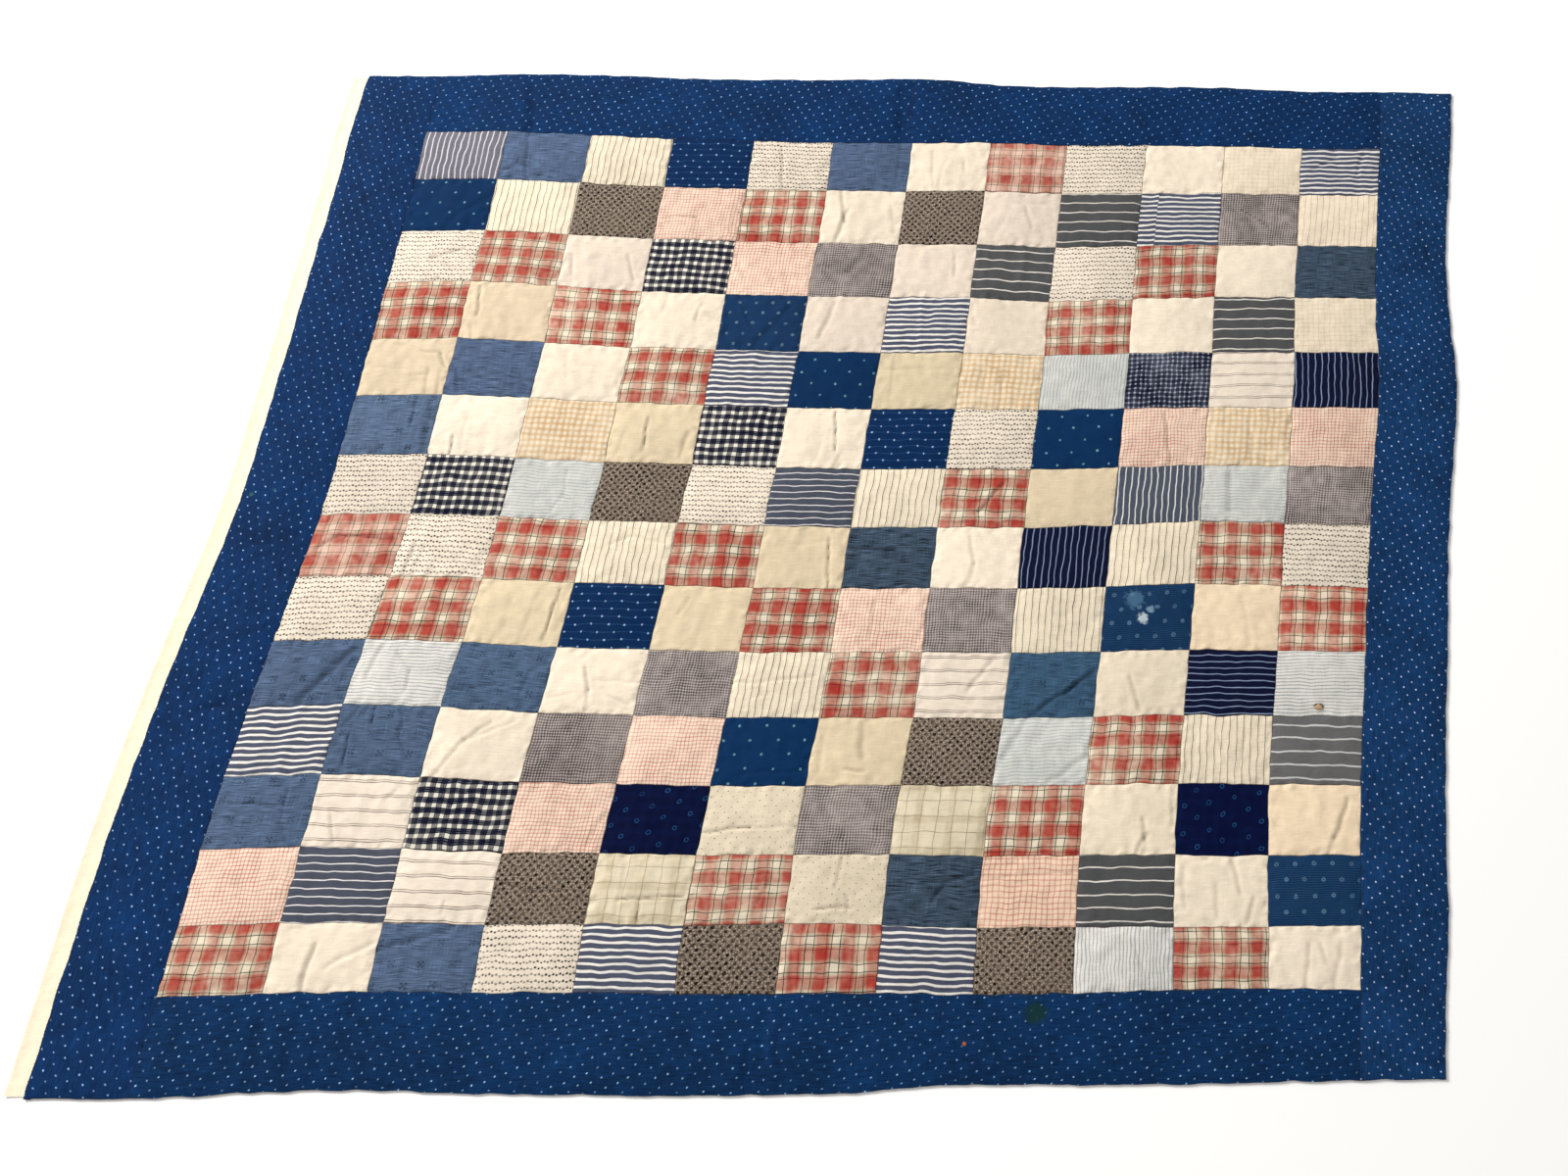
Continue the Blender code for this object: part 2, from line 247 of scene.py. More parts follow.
def cloth_place(across, down):
    """Where a point of the quilt top lies in the frame."""
    across, down = np.broadcast_arrays(np.asarray(across, float), np.asarray(down, float))
    x, y = lay_place(across, down)
    return x + SHIFT[0], y + SHIFT[1]


print("the lay is shifted by", [round(1000 * step, 2) for step in SHIFT], "mm")

# %% [markdown]
# ## How high the cloth lies
# A quilt is soft between its seams: the filling lifts each patch into a low crown and every seam draws it
# down again. On top of that lie long swells, creases from folding, and small puckers beside the seams,
# where hand sewing gathers the cloth. The long forms are the solid's own. The puckers are added here as
# sums of a few waves with seeded lengths and turns, so they are uneven but the same on every run. The
# small folds of a patch come from a table further down, where each is listed one by one.

# %% Heights
SEAM_HEIGHT = 0.0034
PATCH_CROWN = 0.0026
RIM_HEIGHT = 0.0028
BORDER_CROWN = 0.0022
BORDER_DITCH = 0.0014
DITCH_HALF_WIDTH = 0.012
CROWN_FULLNESS = 0.5
RIM_SHARPNESS = 6
SWELL_HEIGHT = 0.0009
CREASES = (
    # across, down, to across, to down, half width, depth
    (1.28, -0.95, 1.32, 1.0, 0.016, 0.0011),
    (5.84, -0.95, 5.82, 1.0, 0.014, 0.0010),
    (5.98, 14.05, 5.88, 14.95, 0.016, 0.0014),
    (5.65, 14.35, 5.52, 14.95, 0.016, 0.0012),
    (0.95, 14.1, 0.90, 14.9, 0.020, 0.0010),
    (12.40, 14.80, 12.95, 14.68, 0.012, 0.0012),
    (12.12, 3.75, 12.60, 3.60, 0.014, 0.0010),
    (0.15, 9.75, 0.85, 9.15, 0.016, -0.0012),
    (0.60, 10.40, 1.75, 10.60, 0.014, 0.0011),
    (7.35, 6.45, 7.75, 6.75, 0.014, 0.0012),
    (8.15, 9.65, 8.85, 9.35, 0.014, -0.0010),
    (7.2, 12.4, 7.9, 12.7, 0.014, 0.0010),
    (5.2, 10.5, 5.8, 10.7, 0.012, 0.0009),
    (-0.85, 6.95, 0.05, 7.10, 0.014, 0.0009),
)
print("creases over the whole quilt:", len(CREASES))

# %% [markdown]
# Swells and puckers are sums of waves. A seed draws their lengths, directions and starts, so that each kind
# looks uneven and still comes out the same on every run. A picture of bumps could do the same for the eye,
# but a function can be asked for the height at any place.

# %% Waves
def waves(seed, count, lengths):
    """A few waves with drawn lengths, turns and starts, always the same for one seed."""
    draw = np.random.default_rng(seed)
    rates = math.tau / draw.uniform(*lengths, count)
    turns = draw.uniform(0, math.tau, count)
    starts = draw.uniform(0, math.tau, count)
    return rates, turns, starts


def wave_sum(kind, x, y):
    """The sum of such waves at a place, about 1 up and down."""
    rates, turns, starts = kind
    along = x[..., None] * np.cos(turns) + y[..., None] * np.sin(turns)
    return np.sin(rates * along + starts).sum(-1) / math.sqrt(len(rates))


SWELLS = waves(7, 9, (0.09, 0.30))
PUCKERS = waves(11, 26, (0.018, 0.050))
GATHERS = waves(12, 22, (0.013, 0.030))
NUDGES_RIGHT = waves(13, 18, (0.022, 0.075))
NUDGES_UP = waves(14, 18, (0.022, 0.075))
PUCKER_HEIGHT = 0.00034
GATHER_HEIGHT = 0.0007
GATHER_REACH = 0.011  # how far from a seam the gathers run
NUDGE = 0.0008  # how far the small puckers push a seam or a print out of line
FOLD_WANDER = 0.0022  # how far a fold strays from its straight line
BESIDE_FOLD = 0.30  # the share of a fold's depth that is pushed up beside it
BESIDE_PLACE = 1.8  # and where, in half widths of the fold
LOWEST = 0.0017  # the top never sinks lower, for it lies on the backing
EASE = 0.0005  # how softly the cloth settles on that level
print("waves in a pucker:", len(PUCKERS[0]))

# %% [markdown]
# A crease is a soft trough along a line. A small fold is the same with a little cloth pushed up beside it,
# and its line wanders by about two millimetres, as no fold in cotton is straight.

# %% Creases and folds
def crease_depth(x, y, creases, beside=0.0):
    """How far creases press the cloth down at a place, with a share of that pushed up beside each."""
    depth = np.zeros_like(x)
    for across, down, to_across, to_down, half_width, deep in creases:
        start_x, start_y = cloth_place(across, down)
        end_x, end_y = cloth_place(to_across, to_down)
        length = math.hypot(end_x - start_x, end_y - start_y)
        run_x, run_y = (end_x - start_x) / length, (end_y - start_y) / length
        along = (x - start_x) * run_x + (y - start_y) * run_y
        past = (along - np.clip(along, 0, length)) / half_width
        side = ((x - start_x) * run_y - (y - start_y) * run_x) / half_width
        depth += deep * np.exp(-side * side - past * past)
        if beside:
            depth -= beside * deep * np.exp(-((side - BESIDE_PLACE) ** 2) / 2 - past * past)
    return depth


def fold_depth(across, down, folds):
    """The same for the small folds, which wander a little."""
    x, y = cloth_place(across, down)
    wander_x = FOLD_WANDER * wave_sum(NUDGES_RIGHT, x, y)
    wander_y = FOLD_WANDER * wave_sum(NUDGES_UP, x, y)
    return crease_depth(x + wander_x, y + wander_y, folds, BESIDE_FOLD)


print("a fold wanders by up to", 1000 * FOLD_WANDER, "mm or so")

# %% [markdown]
# The height of the top is put together here from the crown of each patch, the drop to the rim, the ditches
# in the borders, the swells, the creases and the puckers. It settles softly on the level of the backing.

# %% Height of the cloth
def hump(part):
    """0 on a seam and 1 in the middle, for a place between two seams counted 0 to 1."""
    return np.clip(4 * part * (1 - part), 0, None) ** CROWN_FULLNESS


def seam_distance(across, down):
    """Metres from a place to the nearest seam, near enough."""
    width = np.asarray(COLUMN_WIDTHS)[np.clip(across.astype(int), 0, ACROSS - 1)]
    height = np.asarray(ROW_HEIGHTS)[np.clip(down.astype(int), 0, DOWN - 1)]
    on_patches = np.minimum(abs(across - np.round(across)) * width, abs(down - np.round(down)) * height)
    out_side = np.maximum(-across, across - ACROSS)
    out_end = np.maximum(-down, down - DOWN)
    join = np.where(down < 0, TOP_BORDER_SEAM, BOTTOM_BORDER_SEAM)
    to_upright = np.minimum(np.minimum(abs(across), abs(across - ACROSS)), abs(across - join))
    on_end = np.minimum(out_end * BORDER_WIDTH, to_upright * PATCH_WIDTH)
    return np.where(out_side > 0, out_side * BORDER_WIDTH, np.where(out_end > 0, on_end, on_patches))


def cloth_height(across, down, folds=()):
    """Height of the top of the cloth above the floor."""
    x, y = cloth_place(across, down)
    out = np.maximum(np.maximum(-across, across - ACROSS), np.maximum(-down, down - DOWN))
    out = np.clip(out, 0, 1)
    on_patch = SEAM_HEIGHT + PATCH_CROWN * hump(across % 1) * hump(down % 1)
    rim_drop = (RIM_HEIGHT - SEAM_HEIGHT) * out**RIM_SHARPNESS
    on_border = SEAM_HEIGHT + rim_drop + BORDER_CROWN * hump(out)
    height = np.where(out > 0, on_border, on_patch)
    soft = SWELL_HEIGHT * wave_sum(SWELLS, x - SHIFT[0], y - SHIFT[1])
    soft = soft - crease_depth(x, y, CREASES) - fold_depth(across, down, folds)
    for in_border, join in ((down < 0, TOP_BORDER_SEAM), (down > DOWN, BOTTOM_BORDER_SEAM)):
        near = np.minimum(np.minimum(abs(across), abs(across - ACROSS)), abs(across - join))
        ditch = BORDER_DITCH * np.exp(-((near * PATCH_WIDTH / DITCH_HALF_WIDTH) ** 2))
        soft = soft - in_border * ditch
    beside_seam = np.exp(-((seam_distance(across, down) / GATHER_REACH) ** 2))
    soft = soft + PUCKER_HEIGHT * wave_sum(PUCKERS, x, y)
    soft = soft + GATHER_HEIGHT * beside_seam * wave_sum(GATHERS, x, y)
    height = height + (1 - out**RIM_SHARPNESS) * soft
    return LOWEST + EASE * np.logaddexp(0, (height - LOWEST) / EASE)


def nudged(across, down):
    """The cloth's place with the small sideways wander that puckers give to seams and prints."""
    x, y = cloth_place(across, down)
    return x + NUDGE * wave_sum(NUDGES_RIGHT, x, y), y + NUDGE * wave_sum(NUDGES_UP, x, y)


middle = np.array([6.5]), np.array([7.5])
print("a patch's middle lies", round(1000 * float(cloth_height(*middle)[0]), 1), "mm high")

# %% [markdown]
# ## Wiring finishes
# Printed and woven cotton is a ground colour with lines, dots and blotches on it. Each of these effects is
# built once as a node group that takes a place on the cloth and gives back a mask, and each fabric puts
# its own groups together. A few small helpers keep the wiring short: one adds a node and fills its inputs,
# others add a sum, a soft step or some noise, and one places a finished group.

# %% Helpers for nodes
NUMBER = "NodeSocketFloat"
VECTOR = "NodeSocketVector"
ORIGIN = (0.0, 0.0, 0.0)


def put(tree, kind, wires=None, **settings):
    """Add a node, choose its settings, then wire or fill its inputs by name or number."""
    node = tree.nodes.new(kind)
    for setting, value in settings.items():
        setattr(node, setting, value)
    for socket, value in (wires or {}).items():
        if isinstance(value, bpy.types.NodeSocket):
            tree.links.new(value, node.inputs[socket])
        else:
            node.inputs[socket].default_value = value
    return node


def calc(tree, operation, *values):
    """One sum on numbers or sockets."""
    return put(tree, "ShaderNodeMath", dict(enumerate(values)), operation=operation).outputs[0]


def vector_sum(tree, operation, *values):
    """One sum on vectors."""
    return put(tree, "ShaderNodeVectorMath", dict(enumerate(values)), operation=operation).outputs[0]


def split(tree, vector):
    """The parts of a vector, as sockets X, Y and Z."""
    return put(tree, "ShaderNodeSeparateXYZ", {0: vector}).outputs


def soft_step(tree, value, start, end):
    """1 while the value is under start, easing to 0 at end."""
    wires = {"Value": value, "From Min": start, "From Max": end, "To Min": 1.0, "To Max": 0.0}
    return put(tree, "ShaderNodeMapRange", wires, interpolation_type="SMOOTHSTEP").outputs["Result"]


def stretched(tree, vector, x, y):
    """The vector with its first two parts multiplied, and its third flattened."""
    return vector_sum(tree, "MULTIPLY", vector, (x, y, 0.0))


def noise(tree, vector, scale, detail=2.0, colour=False):
    """Soft noise between 0 and 1, about 0.5."""
    node = put(tree, "ShaderNodeTexNoise", {"Vector": vector, "Scale": scale, "Detail": detail})
    return node.outputs["Color" if colour else 0]


def start_group(name, inputs, outputs=("Mask",)):
    """An empty node group, its own input and output sockets by name, and calc for its sums."""
    group = bpy.data.node_groups.new(name, "ShaderNodeTree")
    for label, value in inputs.items():
        kind = VECTOR if isinstance(value, tuple) else NUMBER
        group.interface.new_socket(label, in_out="INPUT", socket_type=kind).default_value = value
    for label in outputs:
        kind = VECTOR if label == "Cloth" else NUMBER
        group.interface.new_socket(label, in_out="OUTPUT", socket_type=kind)
    given, made = group.nodes.new("NodeGroupInput").outputs, group.nodes.new("NodeGroupOutput").inputs
    return group, given, made, partial(calc, group)


def use(tree, group, wires):
    """The outputs of a finished group, placed in a tree."""
    return put(tree, "ShaderNodeGroup", wires, node_tree=group).outputs


print("kinds of socket:", NUMBER, "and", VECTOR)

# %% [markdown]
# ### Stripes, dots and blotches
# A stripe is where the distance to the nearest of many even lines is small. A dot is the same idea in two
# directions, with every row moved along a little. Each dot draws a number of its own, so that some are
# strong and some nearly washed out. All places are in millimetres, because that is how a print is measured.

# %% Stripe group
stripe_group, given, made, work = start_group(
    "printed_stripe", {"Place": 0.0, "Repeat": 10.0, "Width": 1.0, "Start": 0.0, "Soft": 0.4}
)
count = work("DIVIDE", work("SUBTRACT", given["Place"], given["Start"]), given["Repeat"])
off_line = work("ABSOLUTE", work("SUBTRACT", work("FRACT", count), 0.5))
away = work("MULTIPLY", off_line, given["Repeat"])
half = work("MULTIPLY", given["Width"], 0.5)
inner, outer = work("SUBTRACT", half, given["Soft"]), work("ADD", half, given["Soft"])
stripe_group.links.new(soft_step(stripe_group, away, inner, outer), made["Mask"])
print("inputs of the stripe group:", *given.keys())

# %% [markdown]
# The dot group counts rows and places in a row, and measures how far a point is from the middle of its
# place. The spot there can be long, turned or hollow, so one group prints dots, dashes and rings.

# %% Dot group
dot_group, given, made, work = start_group(
    "printed_dot",
    {"Cloth": ORIGIN, "Repeat": 20.0, "Row": 10.0, "Row Shift": 10.0, "Start": ORIGIN, "Rise": 0.0}
    | {"Long": 3.0, "Wide": 3.0, "Turn": 0.0, "Hollow": -1.0, "Soft": 0.3, "Uneven": 0.3},
)
parts = split(dot_group, vector_sum(dot_group, "SUBTRACT", given["Cloth"], given["Start"]))
lifted = work("SUBTRACT", parts["Y"], work("MULTIPLY", parts["X"], given["Rise"]))
row_count = work("DIVIDE", lifted, given["Row"])
row = work("FLOOR", row_count)
moved = work("SUBTRACT", parts["X"], work("MULTIPLY", row, given["Row Shift"]))
cell_count = work("DIVIDE", moved, given["Repeat"])
cell = work("FLOOR", cell_count)
right = work("MULTIPLY", work("SUBTRACT", work("FRACT", cell_count), 0.5), given["Repeat"])
upward = work("MULTIPLY", work("SUBTRACT", work("FRACT", row_count), 0.5), given["Row"])
cosine, sine = work("COSINE", given["Turn"]), work("SINE", given["Turn"])
along = work("ADD", work("MULTIPLY", right, cosine), work("MULTIPLY", upward, sine))
beside = work("SUBTRACT", work("MULTIPLY", upward, cosine), work("MULTIPLY", right, sine))
along = work("POWER", work("DIVIDE", along, given["Long"]), 2.0)
beside = work("POWER", work("DIVIDE", beside, given["Wide"]), 2.0)
far = work("MULTIPLY", work("SQRT", work("ADD", along, beside)), 2.0)
filled = soft_step(dot_group, far, work("SUBTRACT", 1.0, given["Soft"]), work("ADD", 1.0, given["Soft"]))
hole_in = work("SUBTRACT", given["Hollow"], given["Soft"])
hole_out = work("ADD", given["Hollow"], given["Soft"])
solid = work("SUBTRACT", 1.0, soft_step(dot_group, far, hole_in, hole_out))
wires = {"Vector": put(dot_group, "ShaderNodeCombineXYZ", {0: cell, 1: row}).outputs[0]}
drawn = put(dot_group, "ShaderNodeTexWhiteNoise", wires, noise_dimensions="2D").outputs["Value"]
strength = work("SUBTRACT", 1.0, work("MULTIPLY", drawn, given["Uneven"]))
dot_group.links.new(work("MULTIPLY", work("MULTIPLY", filled, solid), strength), made["Mask"])
print("inputs of the dot group:", *given.keys())

# %% [markdown]
# A blotch is a cell of scattered points with a ragged edge. Crossing bands are the squares where the two
# bands of a check lie over each other, which are darker than either band.

# %% Blotch and crossing groups
blotch_group, given, made, work = start_group(
    "printed_blotch", {"Cloth": ORIGIN, "Repeat": 8.0, "Size": 4.0}
)
wires = {"Vector": given["Cloth"], "Scale": work("DIVIDE", 1.0, given["Repeat"]), "Randomness": 0.85}
scatter = put(blotch_group, "ShaderNodeTexVoronoi", wires, voronoi_dimensions="2D").outputs["Distance"]
ragged = work("MULTIPLY", work("SUBTRACT", noise(blotch_group, given["Cloth"], 0.45), 0.5), 0.5)
near = work("MULTIPLY", work("ADD", scatter, ragged), given["Repeat"])
edge = work("MULTIPLY", given["Size"], 0.5)
blot = soft_step(blotch_group, near, work("MULTIPLY", edge, 0.7), work("MULTIPLY", edge, 1.3))
blotch_group.links.new(blot, made["Mask"])

crossing_group, given, made, work = start_group(
    "crossing_bands", {"Cloth": ORIGIN, "Repeat": 37.0, "Width": 18.0, "Soft": 1.0}
)
parts = split(crossing_group, given["Cloth"])
shared = {label: given[label] for label in ("Repeat", "Width", "Soft")}
bands = [use(crossing_group, stripe_group, {"Place": parts[axis], **shared})[0] for axis in "XY"]
crossing_group.links.new(work("MULTIPLY", *bands), made["Mask"])
print("print groups:", len(bpy.data.node_groups))

# %% [markdown]
# ### Weave, wear and puckers
# Close up, cotton is threads going over and under, with thicker slubs here and there. Washed many times, it
# fades in soft clouds. And it never lies flat: fine puckers, too small for the mesh, go into a bump.

# %% Weave and wear groups
ALONG_SLUB, OVER_SLUB = 0.035, 0.9  # a slub is long along its thread and short over it

weave_group, given, made, work = start_group(
    "cotton_weave", {"Cloth": ORIGIN, "Thread": 0.6}, ("Height", "Slubs")
)
parts = split(weave_group, given["Cloth"])
thread_rate = work("DIVIDE", math.pi, given["Thread"])
over, under = (work("SINE", work("MULTIPLY", parts[axis], thread_rate)) for axis in "XY")
weave_group.links.new(work("MULTIPLY", over, under), made["Height"])
weft = noise(weave_group, stretched(weave_group, given["Cloth"], ALONG_SLUB, OVER_SLUB), 1.0, 1.0)
warp = noise(weave_group, stretched(weave_group, given["Cloth"], OVER_SLUB, ALONG_SLUB), 1.0, 1.0)
slubs = work("MULTIPLY_ADD", weft, 1.9, work("SUBTRACT", work("MULTIPLY", warp, 0.6), 1.25))
weave_group.links.new(slubs, made["Slubs"])

wear_group, given, made, work = start_group("washed_wear", {"Place": ORIGIN}, ("Fade",))
clouds = work("SUBTRACT", noise(wear_group, given["Place"], 9.0, 3.0), 0.5)
mottle = work("SUBTRACT", noise(wear_group, given["Place"], 70.0, 3.0), 0.5)
wear_group.links.new(work("ADD", clouds, work("MULTIPLY", mottle, 0.8)), made["Fade"])
print("effect groups so far:", len(bpy.data.node_groups))

# %% [markdown]
# Three more groups follow. One gives the height of the finest puckers, which fade in beside a seam. One
# pulls a print a few millimetres out of line. The last makes a single soft mark, for a stain or a bleached
# spot.

# %% Pucker, wander and mark groups
PRINT_WANDER = 3.8  # millimetres that a print strays at most, as the cloth was cut and pulled by hand

pucker_group, given, made, work = start_group(
    "fine_puckers", {"Place": ORIGIN, "From Seam": 50.0}, ("Height",)
)
folds = noise(pucker_group, given["Place"], 38.0, 2.5)
beside = soft_step(pucker_group, given["From Seam"], 1.0, 14.0)
gathers = work("SUBTRACT", noise(pucker_group, given["Place"], 95.0, 1.5), 0.5)
pucker_group.links.new(work("ADD", folds, work("MULTIPLY", gathers, beside)), made["Height"])

wander_group, given, made, work = start_group("wandering_print", {"Cloth": ORIGIN}, ("Cloth",))
push = noise(wander_group, given["Cloth"], 0.04, 1.0, colour=True)
push = vector_sum(wander_group, "SUBTRACT", push, (0.5, 0.5, 0.5))
push = stretched(wander_group, push, PRINT_WANDER, PRINT_WANDER)
wander_group.links.new(vector_sum(wander_group, "ADD", given["Cloth"], push), made["Cloth"])

mark_group, given, made, work = start_group(
    "soft_mark", {"Place": ORIGIN, "Middle": ORIGIN, "Radius": 0.01, "Ragged": 0.3}
)
offset = vector_sum(mark_group, "SUBTRACT", given["Place"], given["Middle"])
wires = {0: stretched(mark_group, offset, 1.0, 1.0)}
far = put(mark_group, "ShaderNodeVectorMath", wires, operation="LENGTH").outputs["Value"]
ragged = work("MULTIPLY", work("SUBTRACT", noise(mark_group, given["Place"], 160.0, 3.0), 0.5), 4.0)
far = work("ADD", work("DIVIDE", far, given["Radius"]), work("MULTIPLY", ragged, given["Ragged"]))
mark_group.links.new(soft_step(mark_group, far, 0.55, 1.15), made["Mask"])
print("effect groups:", len(bpy.data.node_groups))

# %% [markdown]
# ## Fabrics
# A fabric is a ground colour and a list of what is printed or woven on it. The helpers below write one item
# of that list each. "Across" lines run along the patch's width, "up" lines along its height. A check is
# nothing but both at part strength, which is also how it is woven: where both colours cross it is darkest.

# %% Items of a print
def stripes(run, repeat, width, colour, strength=1.0, start=0.0, soft=0.4):
    """Even lines: their run, repeat and width in millimetres."""
    wires = {"Repeat": repeat, "Width": width, "Start": start, "Soft": soft}
    return stripe_group, wires, {"across": "Y", "up": "X"}[run], colour, strength


def check(repeat, width, colour, strength=0.5, start=0.0, soft=0.4):
    """Lines both ways."""
    return [stripes(run, repeat, width, colour, strength, start, soft) for run in ("across", "up")]


def dots(repeat, row, shift, long, wide, colour, strength=1.0, **more):
    """Rows of dots or rings."""
    wires = {"Repeat": repeat, "Row": row, "Row Shift": shift, "Long": long, "Wide": wide}
    wires.update({label.replace("_", " ").title(): value for label, value in more.items()})
    return dot_group, wires, None, colour, strength


def blotches(repeat, size, colour, strength=1.0):
    """Scattered ragged spots."""
    return blotch_group, {"Repeat": repeat, "Size": size}, None, colour, strength


def crossings(repeat, width, colour, strength=1.0, soft=1.2):
    """The squares where the bands of a check cross."""
    return crossing_group, {"Repeat": repeat, "Width": width, "Soft": soft}, None, colour, strength


def sprigs(repeat, row, colour, strength=1.0):
    """Small worn sprigs: four leaves round a ring."""
    worn = dict(uneven=0.55, soft=0.35)
    corners = ((-3.2, 3.0, -0.7), (3.2, 3.0, 0.7), (-3.2, -3.0, 0.7), (3.2, -3.0, -0.7))
    leaves = [
        dots(repeat, row, repeat / 2, 2.4, 4.0, colour, strength, start=(right, up, 0), turn=turn, **worn)
        for right, up, turn in corners
    ]
    return leaves + [dots(repeat, row, repeat / 2, 4.6, 4.2, colour, strength, hollow=0.4, **worn)]


PLAID_REPEAT = 37


def plaid(strength):
    """The red plaid: broad red bands edged with grey green, and thin dark lines at the white squares."""
    bands = check(PLAID_REPEAT, 26, "#8c8868", 0.34 * strength, soft=1.5)
    bands += check(PLAID_REPEAT, 18, "#b03830", 0.46 * strength, soft=1.8)
    bands += [crossings(PLAID_REPEAT, 17, "#a22e26", 0.55 * strength, soft=2.6)]
    for start, darkness in ((12.9, 0.85), (-12.9, 0.85), (5.5, 0.5)):
        bands += check(PLAID_REPEAT, 1.2, "#33221d", darkness * strength, start=start, soft=0.3)
    return bands


def dye(code):
    """The linear colour of a hex code."""
    steps = [int(code[place : place + 2], 16) / 255 for place in (1, 3, 5)]
    return (*(step / 12.92 if step <= 0.04045 else ((step + 0.055) / 1.055) ** 2.4 for step in steps), 1.0)


print("a check has", len(check(10.0, 1.0, "#404040")), "items")

# %% [markdown]
# The table of fabrics follows. Each has its ground colour and what is printed or woven on it, with sizes
# read from the photograph and rounded to those of common cottons.

